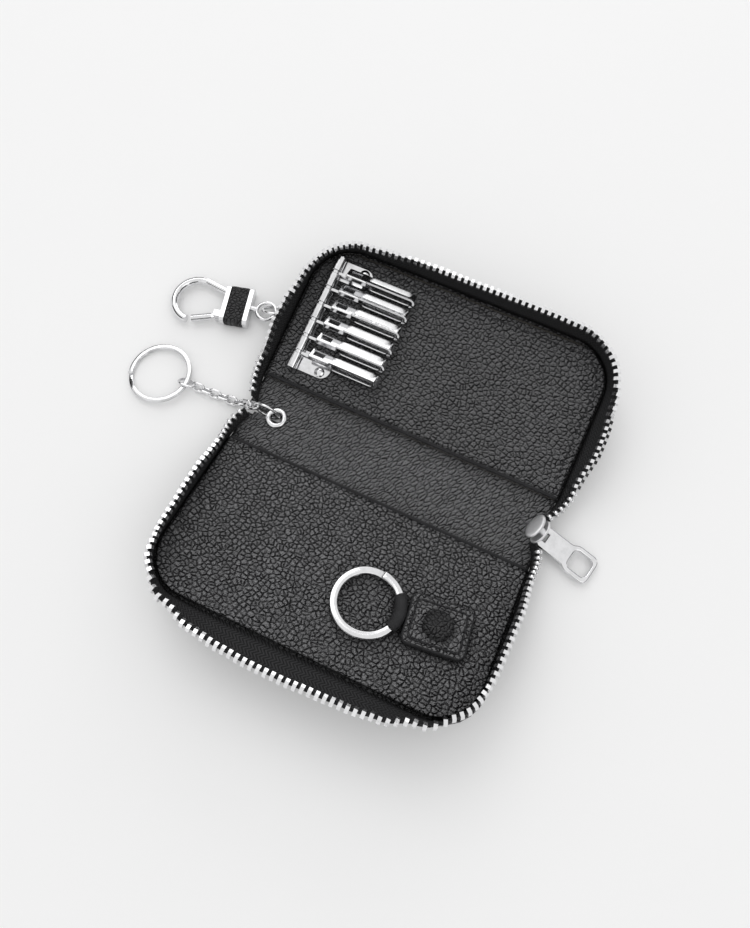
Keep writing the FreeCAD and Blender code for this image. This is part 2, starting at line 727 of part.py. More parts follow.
stud_room = primitive(
    "Cylinder", "stud_room", shift(0, 0, tab_low - sheet.overrun),
    Radius="sizes.stud_radius + sizes.run_clear",
    Height="sizes.overrun + sizes.stud_height - sizes.tab_seat_gap + sizes.touch_gap")
keep(cut("snap_socket_cut", socket_cap, stud_room), "snap_socket", FOB)
dome_round = (sheet.dome_radius ** 2 + sheet.dome_height ** 2) / (2 * sheet.dome_height)
tab_top = tab_low + sheet.tab_thick + sheet.touch_gap
dome_ball = primitive("Sphere", "dome_ball", shift(0, 0, tab_top + sheet.dome_height - dome_round))
bind(dome_ball, Radius="(sizes.dome_radius ^ 2 + sizes.dome_height ^ 2) / (2 * sizes.dome_height)")
dome_column = primitive("Cylinder", "dome_column", shift(0, 0, tab_top), Radius=cell("dome_radius"),
                        Height=cell("dome_height"))
dome = doc.addObject("Part::MultiCommon", "dome")
dome.Shapes = [dome_column, dome_ball]
keep(dome, "snap_cap", FOB)

ring_middle = sheet.fob_ring_outer - sheet.fob_ring_width / 2
loop_place = sheet.tab_length / 2 + sheet.loop_radius + sheet.touch_gap
loop_height = sheet.loop_radius + sheet.touch_gap
RING = FOB * shift(loop_place + ring_middle, 0, loop_height) * turn(UP, 180)


def loop_sleeve():
    """Part of a bent sleeve round the split ring, centred on the side that faces the tab."""
    middle = Vector(ring_middle, 0, 0)
    rim = Part.Wire(Part.makeCircle(sheet.loop_radius, middle, ACROSS))
    bore = Part.Wire(Part.makeCircle(sheet.loop_bore, middle, ACROSS))
    section = Part.Face(rim).cut(Part.Face(bore))
    section.rotate(Vector(0, 0, 0), UP, -sheet.loop_arc_deg / 2)
    return section.Faces[0].revolve(Vector(0, 0, 0), UP, sheet.loop_arc_deg)


keep(formed("loop_form", loop_sleeve()), "ring_loop", RING)
flat_ring = band(sheet.fob_ring_outer, sheet.fob_ring_width, sheet.fob_ring_height)
keep(formed("fob_ring_form", flat_ring), "fob_ring", RING)

# Zip slider: two plates on a post, leaning outwards at the end of the spine, and its pull
LIE = turn(UP, -90)
SLIDER = (shift(sheet.spine_length / 2 - sheet.slider_setback, 0,
                sheet.cover_thick + sheet.lining_thick + sheet.slider_lift)
          * turn(UP, -sheet.pull_bearing_deg) * turn(ACROSS, -sheet.slider_slope_deg))
slider_parts = []
for number, low in enumerate((0, sheet.slider_plate + sheet.slider_throat)):
    plate = slab(f"slider_plate_{number}", cell("slider_width"), cell("slider_length"), cell("slider_plate"),
                 cell("slider_corner"))
    plate.Placement = shift(0, 0, low) * LIE
    slider_parts.append(plate)
slider_parts.append(primitive(
    "Box", "slider_post", shift(sheet.slider_post_place, -sheet.slider_post / 2, 0),
    Length=cell("slider_post"), Width=cell("slider_post"),
    Height="2 * sizes.slider_plate + sizes.slider_throat"))
slider_parts.append(primitive(
    "Box", "slider_lug", shift(sheet.lug_place, -sheet.lug_width / 2, -sheet.lug_height),
    Length=cell("lug_length"), Width=cell("lug_width"), Height="sizes.lug_height + sizes.slider_plate"))
PULL_PIN = shift(sheet.lug_place + sheet.lug_length / 2, 0, -sheet.lug_pin_depth)
lug_bore = primitive(
    "Cylinder", "lug_bore", PULL_PIN * shift(0, -sheet.lug_width, 0) * ON_PIN,
    Radius="sizes.pull_pin_radius + sizes.run_clear", Height="2 * sizes.lug_width")
keep(cut("slider_cut", joined("slider_whole", slider_parts), lug_bore), "zip_slider", SLIDER)

PULL = (SLIDER * PULL_PIN) * turn(ACROSS, sheet.slider_slope_deg + sheet.pull_drop_deg)
pull_half = sheet.pull_thick / 2
pull_root = slab("pull_root", cell("pull_root_width"), "sizes.pull_root_length + sizes.pull_thick / 2",
                 cell("pull_thick"))
pull_root.Placement = shift(-pull_half, 0, -pull_half) * LIE
pull_frame = slab("pull_frame", cell("pull_frame_width"), cell("pull_frame_length"), cell("pull_thick"),
                  cell("pull_frame_corner"))
pull_frame.Placement = shift(sheet.pull_root_length - pull_half, 0, -pull_half) * LIE
pull_window = slab("pull_window", cell("pull_window_width"), cell("pull_window_length"),
                   "sizes.pull_thick + 2 * sizes.overrun", cell("pull_window_corner"))
window_margin = (sheet.pull_frame_length - sheet.pull_window_length) / 2
pull_window.Placement = shift(sheet.pull_root_length - pull_half + window_margin, 0,
                              -pull_half - sheet.overrun) * LIE
pull_slot = primitive(
    "Box", "pull_slot",
    shift(-pull_half - sheet.overrun, -sheet.pull_slot_width / 2, -pull_half - sheet.overrun),
    Length="sizes.pull_slot_reach + sizes.pull_thick / 2 + sizes.overrun", Width=cell("pull_slot_width"),
    Height="sizes.pull_thick + 2 * sizes.overrun")
pull_blank = cut("pull_blank", joined("pull_whole", [pull_root, pull_frame]),
                 joined("pull_cuts", [pull_window, pull_slot]))
pull_pin = primitive(
    "Cylinder", "pull_pin", shift(0, -sheet.pull_slot_width / 2 - pull_half, 0) * ON_PIN,
    Radius=cell("pull_pin_radius"), Height="sizes.pull_slot_width + sizes.pull_thick")
keep(joined("pull_done", [pull_blank, pull_pin]), "zip_pull", PULL)

# Chain: a ring through the eyelet, twisted links down to the ground, an end ring and a split ring
lining_middle = sheet.cover_thick + sheet.lining_thick / 2
ring_run = (sheet.eyelet_ring_radius ** 2 - (sheet.eyelet_ring_lift - lining_middle) ** 2) ** 0.5
ring_centre = Vector(-sheet.eyelet_place - ring_run, 0, sheet.eyelet_ring_lift)
eyelet_ring = primitive("Torus", "eyelet_ring_torus", Radius1=cell("eyelet_ring_radius"),
                        Radius2=cell("eyelet_ring_wire"))
keep(eyelet_ring, "eyelet_ring", shift(*ring_centre) * turn(ALONG, 90))

chain_yaw = 180 + sheet.chain_bearing_deg
heading = Vector(cos(radians(chain_yaw)), sin(radians(chain_yaw)), 0)
link_inner = sheet.link_length / 2 - 2 * sheet.link_wire
link_pitch = 2 * link_inner - sheet.link_slack
link_roll = radians(sheet.link_roll_deg)
lie_height = (sheet.link_width / 2 - sheet.link_wire) * sin(link_roll) + sheet.link_wire + sheet.link_lift
end_rise = (sheet.end_ring_width / 2 - sheet.end_ring_wire) * sin(link_roll)
end_height = end_rise + sheet.end_ring_wire + sheet.link_lift


def next_centre(here, step, height):
    """The next centre along the chain, one step on and no lower than a height."""
    drop = min(max(here.z - height, -step), step * sin(radians(sheet.chain_drop_deg)))
    return here + heading * (step ** 2 - drop ** 2) ** 0.5 - UP * drop


steps = [link_inner - sheet.eyelet_ring_wire - sheet.link_slack] + [link_pitch] * (LINK_COUNT - 1)
heights = [lie_height] * (LINK_COUNT - 1) + [(lie_height + end_height) / 2]
steps.append(link_inner + sheet.end_ring_length / 2 - 2 * sheet.end_ring_wire - sheet.link_slack)
heights.append(end_height)
chain = [ring_centre + Vector(-sheet.eyelet_ring_radius, 0, 0)]
for step, height in zip(steps, heights):
    chain.append(next_centre(chain[-1], step, height))


def chain_place(number):
    """Place of one link: along the line of its neighbours, rolled to one side or the other."""
    line = chain[number + 1] - chain[number - 1] if number < LINK_COUNT else heading
    dip = -Vector(hypot(line.x, line.y), 0, line.z).getAngle(ALONG) * (1 if line.z > 0 else -1) * 180 / pi
    side = 1 if number % 2 else -1
    roll = side * (sheet.first_link_roll_deg if number == 1 else sheet.link_roll_deg)
    return shift(*chain[number]) * turn(UP, chain_yaw) * turn(ACROSS, dip) * turn(ALONG, roll)


one_link = oval(sheet.link_length, sheet.link_width, sheet.link_wire)
for number in range(1, LINK_COUNT + 1):
    keep(formed(f"link_form_{number}", one_link), f"chain_link_{number}", chain_place(number))
end_ring = oval(sheet.end_ring_length, sheet.end_ring_width, sheet.end_ring_wire)
keep(formed("end_ring_form", end_ring), "chain_end_ring", chain_place(LINK_COUNT + 1))

ring_mean = sheet.key_ring_outer - sheet.key_ring_width / 2
near_height = chain[-1].z
far_height = sheet.key_ring_lift + sheet.key_ring_height / 2
ring_drop = UP * ((far_height - near_height) / 2)
ring_middle_point = chain[-1] + heading * (sheet.key_ring_hold + ring_mean) + ring_drop
lean = (near_height - far_height) / (2 * ring_mean) * 180 / pi
split_ring = band(sheet.key_ring_outer, sheet.key_ring_width, sheet.key_ring_height)
KEY_RING = shift(*ring_middle_point) * turn(UP, chain_yaw) * turn(ACROSS, lean)
keep(formed("key_ring_form", split_ring), "key_ring", KEY_RING)

# Swivel hook: a strap at the cover's edge, a link ring, a swivel eye, the collar and the bow
bow_dir = Vector(cos(radians(sheet.hook_bearing_deg)), sin(radians(sheet.hook_bearing_deg)), 0)
cover_end = -sheet.cover_length / 2 - sheet.touch_gap
strap_local = Vector(cover_end - sheet.strap_reach, sheet.strap_along, -sheet.strap_drop)
strap_point = UPPER.multVec(strap_local)
LINK = (shift(*(strap_point + bow_dir * sheet.link_ring_radius)) * turn(UP, sheet.hook_bearing_deg)
        * turn(ALONG, sheet.link_ring_roll_deg))
keep(primitive("Torus", "link_ring_torus", Radius1=cell("link_ring_radius"), Radius2=cell("link_ring_wire")),
     "link_ring", LINK)

strap_tube = Part.makeCylinder(
    sheet.strap_radius, sheet.strap_width, Vector(-sheet.link_ring_radius, -sheet.strap_width / 2, 0), ACROSS)
strap_tube.Placement = LINK
strap_hole = Part.makeCylinder(
    sheet.strap_bore, sheet.strap_width + 4 * sheet.overrun,
    Vector(-sheet.link_ring_radius, -sheet.strap_width / 2 - 2 * sheet.overrun, 0), ACROSS)
strap_hole.Placement = LINK
tongue = Part.makeBox(
    sheet.strap_reach, sheet.strap_width, sheet.strap_drop + sheet.cover_thick,
    strap_local + Vector(0, -sheet.strap_width / 2, 0))
tongue.Placement = UPPER
strap = tongue.fuse(strap_tube).cut(strap_hole).removeSplitter()
keep(formed("strap_form", strap), "hook_strap")

collar_middle = sheet.collar_height / 2 + sheet.hook_lift
eye_back = sheet.swivel_gap + 2 * sheet.swivel_eye_radius
link_far = strap_point + bow_dir * (2 * sheet.link_ring_radius - sheet.link_ring_overlap)
collar_back = link_far + bow_dir * eye_back
HOOK = shift(collar_back.x, collar_back.y, collar_middle) * turn(UP, sheet.hook_bearing_deg)
swivel_ring = primitive("Torus", "swivel_ring", shift(-sheet.swivel_gap - sheet.swivel_eye_radius, 0, 0),
                        Radius1=cell("swivel_eye_radius"), Radius2=cell("swivel_eye_wire"))
swivel_stem = primitive(
    "Cylinder", "swivel_stem", shift(-sheet.swivel_gap, 0, 0) * turn(ACROSS, 90), Radius=cell("swivel_post"),
    Height="sizes.swivel_gap + sizes.swivel_post_length")
keep(joined("swivel_whole", [swivel_ring, swivel_stem]), "swivel_eye", HOOK)

BACK = turn(ACROSS, 90)
frame_parts = []
front_plate = sheet.frame_plate + sheet.collar_length
for number, start in enumerate((0, front_plate)):
    plate = slab(f"frame_plate_{number}", cell("collar_height"), cell("collar_width"), cell("frame_plate"),
                 cell("frame_corner"), centred=True)
    plate.Placement = shift(start, 0, 0) * BACK
    frame_parts.append(plate)
collar_core = slab("collar_core", cell("collar_core_height"), cell("collar_core_width"),
                   "sizes.collar_length + 2 * sizes.frame_plate", centred=True)
collar_core.Placement = BACK
frame_parts.append(collar_core)
stem_bore = primitive(
    "Cylinder", "stem_bore", shift(-sheet.overrun, 0, 0) * BACK, Radius="sizes.swivel_post + sizes.run_clear",
    Height="sizes.overrun + sizes.swivel_post_length + sizes.touch_gap")
frame_end = sheet.collar_length + 2 * sheet.frame_plate
hinge_place = frame_end + sheet.hinge_lug / 2
tongue_half = sheet.gate_radius - sheet.bow_wire / 2
for number, low in enumerate((-sheet.collar_height / 2, tongue_half + sheet.touch_gap)):
    ear = primitive(
        "Box", f"hinge_ear_{number}",
        shift(frame_end - sheet.frame_plate, sheet.bow_foot - sheet.hinge_lug / 2, low),
        Length="sizes.hinge_lug + sizes.frame_plate", Width=cell("hinge_lug"),
        Height="sizes.collar_height / 2 - sizes.gate_radius + sizes.bow_wire / 2 - sizes.touch_gap")
    frame_parts.append(ear)
foot = Vector(frame_end - sheet.frame_plate / 2, -sheet.bow_foot, 0)
swell = Vector(frame_end + sheet.bow_swell_place, -sheet.bow_swell, 0)
crown = Vector(frame_end + sheet.bow_reach - sheet.bow_wire, 0, 0)
nose = Vector(frame_end + sheet.bow_nose_place, sheet.bow_swell, 0)
bow_path = [Part.LineSegment(foot, swell).toShape(), Part.Arc(swell, crown, nose).toShape()]
bow_rod = formed("bow_rod", swept([bow_path[0]], sheet.bow_wire, foot, swell - foot))
arc_start = bow_path[1].tangentAt(bow_path[1].FirstParameter)
bow_arc = formed("bow_arc", swept([bow_path[1]], sheet.bow_wire, swell, arc_start))
bow_joint = primitive("Sphere", "bow_joint", shift(*swell), Radius=cell("bow_wire"))
frame_parts += [bow_rod, bow_arc, bow_joint]
hinge_bore = primitive(
    "Cylinder", "hinge_bore", shift(hinge_place, sheet.bow_foot, -sheet.collar_height),
    Radius="sizes.gate_pin_radius + sizes.touch_gap", Height="2 * sizes.collar_height")
hook_bores = joined("hook_body_cuts", [stem_bore, hinge_bore])
keep(cut("hook_body_cut", joined("hook_body_whole", frame_parts), hook_bores), "hook_body", HOOK)

wrap_outer = slab("wrap_outer", "sizes.collar_height - 2 * sizes.touch_gap",
                  "sizes.collar_width - 2 * sizes.touch_gap", "sizes.collar_length - 2 * sizes.touch_gap",
                  cell("frame_corner"), centred=True)
wrap_inner = slab("wrap_inner", "sizes.collar_core_height + 2 * sizes.touch_gap",
                  "sizes.collar_core_width + 2 * sizes.touch_gap", "sizes.collar_length + 2 * sizes.overrun",
                  centred=True)
wrap_outer.Placement = shift(sheet.frame_plate + sheet.touch_gap, 0, 0) * BACK
wrap_inner.Placement = shift(sheet.frame_plate - sheet.overrun, 0, 0) * BACK
keep(cut("collar_wrap_cut", wrap_outer, wrap_inner), "collar_wrap", HOOK)

hinge_point = Vector(hinge_place, sheet.bow_foot, 0)
reach = nose - hinge_point
gate_length = reach.Length - sheet.gate_nose_gap - sheet.bow_wire
gate_turn = reach.getAngle(ALONG) * 180 / pi
gate_rod = Part.makeCylinder(
    sheet.gate_radius, gate_length - sheet.hinge_lug, Vector(sheet.hinge_lug, 0, 0), ALONG)
gate_tongue = Part.makeBox(
    sheet.hinge_lug + sheet.gate_radius, 2 * tongue_half, 2 * tongue_half - 2 * sheet.touch_gap,
    Vector(0, -tongue_half, -tongue_half + sheet.touch_gap))
gate_eye = Part.makeCylinder(
    tongue_half, 2 * tongue_half - 2 * sheet.touch_gap, Vector(0, 0, -tongue_half + sheet.touch_gap))
gate_bore = Part.makeCylinder(
    sheet.gate_pin_radius + sheet.run_clear, 2 * sheet.collar_height, Vector(0, 0, -sheet.collar_height))
gate = gate_rod.fuse([gate_tongue, gate_eye]).cut(gate_bore).removeSplitter()
GATE = HOOK * shift(*hinge_point) * turn(UP, gate_turn)
keep(formed("hook_gate_form", gate), "hook_gate", GATE)
keep(primitive("Cylinder", "gate_pin_rod", Radius=cell("gate_pin_radius"), Height=cell("collar_height")),
     "gate_pin", HOOK * shift(hinge_place, sheet.bow_foot, -sheet.collar_height / 2))

# Check every object and write one file for each sub-part
doc.recompute()
broken = [item.Name for item in doc.Objects if "Invalid" in item.State or "Error" in item.State]
broken += [item.Label for item in nodes if item.Shape.isNull() or not item.Shape.isValid()]
if broken:
    raise RuntimeError("failed: " + ", ".join(broken))
os.makedirs("parts", exist_ok=True)
for item in nodes:
    item.Shape.exportStep(f"parts/{item.Label}.step")
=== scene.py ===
import bpy
import bmesh
import json
from math import cos, pi, radians, sin, sqrt
from mathutils import Matrix, Vector, noise


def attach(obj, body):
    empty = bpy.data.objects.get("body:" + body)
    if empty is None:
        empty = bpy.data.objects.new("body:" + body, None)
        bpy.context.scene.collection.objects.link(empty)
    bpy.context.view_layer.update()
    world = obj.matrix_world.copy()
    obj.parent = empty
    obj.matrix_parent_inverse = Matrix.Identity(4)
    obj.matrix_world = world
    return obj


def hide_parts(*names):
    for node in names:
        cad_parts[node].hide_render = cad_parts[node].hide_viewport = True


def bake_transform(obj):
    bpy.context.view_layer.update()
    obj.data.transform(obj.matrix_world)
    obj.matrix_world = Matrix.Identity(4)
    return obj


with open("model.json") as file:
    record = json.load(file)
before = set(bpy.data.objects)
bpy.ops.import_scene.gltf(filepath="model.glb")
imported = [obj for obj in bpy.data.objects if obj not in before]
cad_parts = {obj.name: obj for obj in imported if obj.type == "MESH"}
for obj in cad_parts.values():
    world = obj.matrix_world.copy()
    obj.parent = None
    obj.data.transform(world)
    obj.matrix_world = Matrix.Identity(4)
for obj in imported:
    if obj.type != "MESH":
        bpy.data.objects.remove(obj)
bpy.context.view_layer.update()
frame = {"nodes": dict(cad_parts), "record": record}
MM = 0.001

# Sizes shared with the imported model, in millimetres.
# Leans are how far the zip tape leans out, in degrees, at even steps round the rim of each half.
HALF_SPINE = 12.15
COVER = 1.6
LINING_TOP = 2.8
PANEL_LOW = 2.8
PANEL_TOP = 4.4
TILT = radians(12.6)
SPINE_LENGTH = 121.0
COVER_LENGTH = 123.0
COVER_CORNER = 18.0
PANEL_LENGTH = 118.5
PANEL_SETBACK = 2.2
TAPE_START = 8.0
TAPE_WIDE = 9.0
TAPE_LOW = 5.0
TAPE_RISE = 16.0
TAPE_THICK = 0.8
TAPE_INSET = 0.5
TOOTH = (1.3, 2.8, 2.2)
TOOTH_GAP = 0.3
BEAD_RISE = 1.5
HALVES = {
    "upper": dict(body="key_half", depth=62.5, panel=57.0, corner=14.0, shift=0.3,
                  leans=(18, 13, 9, 0, -10, -11, -4, 2, 7, 9, 9, 10, 11, 11, 9, 5, 9, 20, 29, 31, 33)),
    "lower": dict(body="fob_half", depth=65.5, panel=61.2, corner=15.5, shift=0.0,
                  leans=(5, 5, 2, -1, -7, 1, 24, 47, 57, 62, 68, 69, 64, 52, 28, 2, -9, -7, -4, -3, 0)),
}
UPPER = (Matrix.Translation((0, HALF_SPINE, COVER)) @ Matrix.Rotation(TILT, 4, "X")
         @ Matrix.Translation((0, 0, -COVER)))
PLACE = {"upper": UPPER, "lower": Matrix.Rotation(pi, 4, "Z") @ UPPER}
EYELET = (-47.8, 0.0)
UP = Vector((0, 0, 1))


# Finishes
class Tone:
    """A number that varies over a surface; arithmetic on it adds Math nodes."""

    def __init__(self, finish, socket):
        self.finish = finish
        self.socket = socket

    def reckon(self, operation, first, second):
        return self.finish.node("ShaderNodeMath", {"operation": operation}, {0: first, 1: second})

    def __add__(self, other):
        return self.reckon("ADD", self, other)

    def __radd__(self, other):
        return self.reckon("ADD", other, self)

    def __sub__(self, other):
        return self.reckon("SUBTRACT", self, other)

    def __rsub__(self, other):
        return self.reckon("SUBTRACT", other, self)

    def __mul__(self, other):
        return self.reckon("MULTIPLY", self, other)

    def __rmul__(self, other):
        return self.reckon("MULTIPLY", other, self)


# The way from which each grain of leather is painted lit: its side facing this way is painted lighter, the
# far side darker
PAINTED_LIGHT_SIDE = (-0.55, 0.6, 0.58)


class Finish:
    """A material, or the world, and the nodes that make it."""

    def __init__(self, name, owner=None):
        self.material = owner or bpy.data.materials.new(name)
        self.material.use_nodes = True
        self.tree = self.material.node_tree
        self.tree.nodes.clear()

    def node(self, kind, settings=None, inputs=None, out=0):
        """Add a node, set it up, feed its sockets, and give back one of its outputs."""
        made = self.tree.nodes.new(kind)
        for name, value in (settings or {}).items():
            setattr(made, name, value)
        for name, value in (inputs or {}).items():
            if isinstance(value, Tone):
                self.tree.links.new(value.socket, made.inputs[name])
            else:
                made.inputs[name].default_value = value
        return Tone(self, made.outputs[out]) if made.outputs else None

    def place(self, which="Object"):
        return self.node("ShaderNodeTexCoord", out=which)

    def grain(self, where, scale, detail=2.0, roughness=0.5):
        return self.node("ShaderNodeTexNoise", None,
                         {"Vector": where, "Scale": scale, "Detail": detail, "Roughness": roughness})

    def cells(self, where, scale, scatter=1.0, feature="DISTANCE_TO_EDGE", out=0):
        return self.node("ShaderNodeTexVoronoi", {"feature": feature, "voronoi_dimensions": "2D"},
                         {"Vector": where, "Scale": scale, "Randomness": scatter}, out)

    def warped(self, where, scale, amount):
        """The same coordinates, pushed about by a coarse noise."""
        push = self.node("ShaderNodeTexNoise", None,
                         {"Vector": where, "Scale": scale, "Detail": 2.0}, out="Color")
        centred = self.node("ShaderNodeVectorMath", {"operation": "SUBTRACT"}, {0: push, 1: (0.5, 0.5, 0.5)})
        small = self.node("ShaderNodeVectorMath", {"operation": "SCALE"}, {0: centred, "Scale": amount})
        return self.node("ShaderNodeVectorMath", {"operation": "ADD"}, {0: where, 1: small})

    def stretched(self, where, scale, turn=0.0):
        return self.node("ShaderNodeMapping", None,
                         {"Vector": where, "Scale": scale, "Rotation": (0.0, 0.0, turn)})

    def eased(self, value, low, high, start=0.0, end=1.0):
        """A soft ramp from start to end as the value goes from low to high."""
        return self.node("ShaderNodeMapRange", {"interpolation_type": "SMOOTHSTEP"},
                         {"Value": value, "From Min": low, "From Max": high, "To Min": start, "To Max": end})

    def blend(self, share, first, second):
        return self.node("ShaderNodeMix", {"data_type": "RGBA"},
                         {0: share, 6: (*first, 1.0) if isinstance(first, tuple) else first,
                          7: (*second, 1.0) if isinstance(second, tuple) else second}, out=2)

    def bump(self, height, depth):
        return self.node("ShaderNodeBump", None, {"Height": height, "Strength": 1.0, "Distance": depth})

    def painted_corner_shade(self, reach, darkest):
        """Painted shade: darker in corners, creases and under edges, where less light reaches."""
        open_share = self.node("ShaderNodeAmbientOcclusion", {"samples": 6}, {"Distance": reach}, out="AO")
        return self.eased(open_share, 0.3, 0.95, darkest, 1.0)

    def painted_side_lean(self, relief):
        """How far a relief leans to the painted-lit side, against the smooth face: painted light and shade on
        each grain.
        """
        plain = self.node("ShaderNodeNewGeometry", out="Normal")
        lean = self.node("ShaderNodeVectorMath", {"operation": "SUBTRACT"}, {0: relief, 1: plain})
        return self.node("ShaderNodeVectorMath", {"operation": "DOT_PRODUCT"},
                         {0: lean, 1: PAINTED_LIGHT_SIDE}, out="Value")

    def skin(self, **values):
        """The shader that the nodes feed."""
        named = {key.replace("_", " "): value for key, value in values.items()}
        shader = self.node("ShaderNodeBsdfPrincipled", None, named)
        self.node("ShaderNodeOutputMaterial", None, {"Surface": shader})
        return self.material


def pebbled_leather(name, pebble, light, depth, draw, turn, swell, faint, chart="Object"):
    """Black grained leather: soft pebbles, some prouder than others, with creases between in painted shade.

    The pebbles have a size in millimetres and a depth in metres, and are drawn out along a turned line.
    Light is the dye of their tops, swell the share of it that each dome's painted highlight makes, faint the
    weakest painted crease shade.
    """
    f = Finish(name)
    bent = f.warped(f.place(chart), 170.0, 0.0013)
    laid = f.stretched(f.stretched(bent, (1.0, 1.0, 1.0), radians(turn)), (draw, 1.0, 1.0))
    spot = f.warped(laid, 1500.0, 0.0004)
    edge = f.cells(spot, 1000.0 / pebble, 0.85)
    own = f.eased(f.cells(spot, 1000.0 / pebble, 0.85, "F1", "Color"), 0.25, 0.72, 0.35, 1.0)
    deep = f.eased(f.grain(f.place(chart), 430.0, 3.0, 0.6), 0.36, 0.6, faint, 1.0)
    crease = 1.0 - f.eased(edge, 0.0, 0.13, 1.0, 0.0) * deep
    dome = f.eased(edge, 0.0, 0.34)
    small = f.eased(f.cells(f.warped(spot, 800.0, 0.0006), 2400.0 / pebble), 0.0, 0.3)
    fine = f.grain(f.place(chart), 1700.0, 4.0, 0.7)
    cloud = f.grain(f.place(chart), 34.0, 3.0, 0.55)
    height = crease * 0.25 + dome * (0.3 + 0.4 * own) + small * 0.2 + fine * 0.2
    mottle = 0.5 * small + f.eased(fine, 0.3, 0.7, 0.0, 0.5)
    relief = f.bump(height, depth)
    # Painted light and shade: each pebble is painted lighter on its side facing a fixed direction and darker
    # on the far side.
    painted_side_light = 1.0 + 3.0 * f.painted_side_lean(relief)
    # Painted shade in the creases and painted highlight on the dome tops, mixed with random mottle and pebble
    # tone.
    wear_and_painted_light = (0.05 + 0.95 * crease) * (0.85 - swell + 0.25 * mottle + swell * dome * own)
    # Painted shade darkens the leather in corners, creases and under edges.
    shade = wear_and_painted_light * painted_side_light * f.painted_corner_shade(0.0028, 0.12)
    tone = f.eased(cloud, 0.3, 0.7, 0.0, 0.35)
    dye = f.blend(tone, (light, light, light * 1.03), (light * 0.75,) * 3)
    base = f.blend(shade, (0.003, 0.003, 0.0035), dye)
    return f.skin(Base_Color=base, Roughness=0.56 - 0.16 * dome + 0.12 * (cloud - 0.5),
                  Normal=relief, Specular_IOR_Level=0.2)


def calf_leather(name):
    """Smooth black leather with faint pores, for the loop, the strap, the welts, the edge of the tab and its
    stitch groove, where its darkness is painted shade.
    """
    f = Finish(name)
    pores = f.eased(f.cells(f.place(), 2600.0), 0.02, 0.3)
    cloud = f.grain(f.place(), 300.0, 4.0)
    base = f.blend(cloud, (0.012, 0.012, 0.013), (0.034, 0.034, 0.036))
    return f.skin(Base_Color=base, Roughness=0.42 + 0.16 * cloud, Normal=f.bump(pores + cloud * 0.6, 0.00009),
                  Specular_IOR_Level=0.3)


def inked_edge(name):
    """The cut edge of the leather, inked, with its layers showing faintly."""
    f = Finish(name)
    layers = f.grain(f.stretched(f.place(), (1.0, 1.0, 9.0)), 420.0, 3.0)
    base = f.blend(layers, (0.03, 0.03, 0.031), (0.085, 0.085, 0.088))
    return f.skin(Base_Color=base, Roughness=0.5 + 0.2 * layers, Normal=f.bump(layers, 0.00008))


def woven_tape(name):
    """Black zip tape in a herringbone weave; the mesh carries its run and rise in millimetres."""
    f = Finish(name)
    parts = f.node("ShaderNodeSeparateXYZ", None, {"Vector": f.place("UV")})
    run = Tone(f, parts.socket.node.outputs["X"])
    rise = Tone(f, parts.socket.node.outputs["Y"])
    zigzag = f.node("ShaderNodeMath", {"operation": "PINGPONG"}, {0: rise, 1: 1.5})
    ridge = f.node("ShaderNodeMath", {"operation": "SINE"}, {0: (run + zigzag) * (2 * pi / 1.3)})
    thread = f.node("ShaderNodeMath", {"operation": "SINE"}, {0: rise * (2 * pi / 0.42)})
    weave = 0.5 + 0.34 * ridge + 0.16 * thread
    lint = f.grain(f.place(), 900.0, 3.0)
    base = f.blend(weave * 0.8 + lint * 0.2, (0.002, 0.002, 0.002), (0.05, 0.05, 0.052))
    return f.skin(Base_Color=base, Roughness=0.72 + 0.18 * lint, Normal=f.bump(weave + lint * 0.2, 0.00018),
                  Specular_IOR_Level=0.12)


def waxed_thread(name):
    """Black sewing thread with its twist."""
    f = Finish(name)
    twist = f.node("ShaderNodeTexWave", {"bands_direction": "DIAGONAL"},
                   {"Vector": f.place(), "Scale": 900.0, "Distortion": 1.2, "Detail": 1.0}, out="Fac")
    base = f.blend(twist, (0.010, 0.010, 0.011), (0.050, 0.050, 0.053))
    return f.skin(Base_Color=base, Roughness=0.5 + 0.15 * twist, Normal=f.bump(twist, 0.00012),
                  Specular_IOR_Level=0.2)


def plated_metal(name, shade, low, high):
    """Bright plated metal: a finish that varies softly, with hairlines and a little haze."""
    f = Finish(name)
    haze = f.grain(f.place(), 260.0, 4.0, 0.6)
    hairs = f.grain(f.stretched(f.place(), (1.0, 14.0, 1.0)), 900.0, 2.0)
    wear_and_painted_light = f.eased(haze, 0.35, 0.75)
    base = f.blend(wear_and_painted_light, shade, tuple(0.86 * c for c in shade))
    return f.skin(Base_Color=base, Metallic=1.0, Roughness=low + (high - low) * wear_and_painted_light + 0.03 * hairs,
                  Normal=f.bump(hairs * 0.4 + haze, 0.000012))


def pressed_board(name):
    """Grey-brown fibre board."""
    f = Finish(name)
    fibre = f.grain(f.stretched(f.place(), (1.0, 4.0, 1.0)), 700.0, 5.0, 0.7)
    base = f.blend(fibre, (0.03, 0.028, 0.025), (0.09, 0.082, 0.07))
    return f.skin(Base_Color=base, Roughness=0.8 + 0.15 * fibre, Normal=f.bump(fibre, 0.0001))


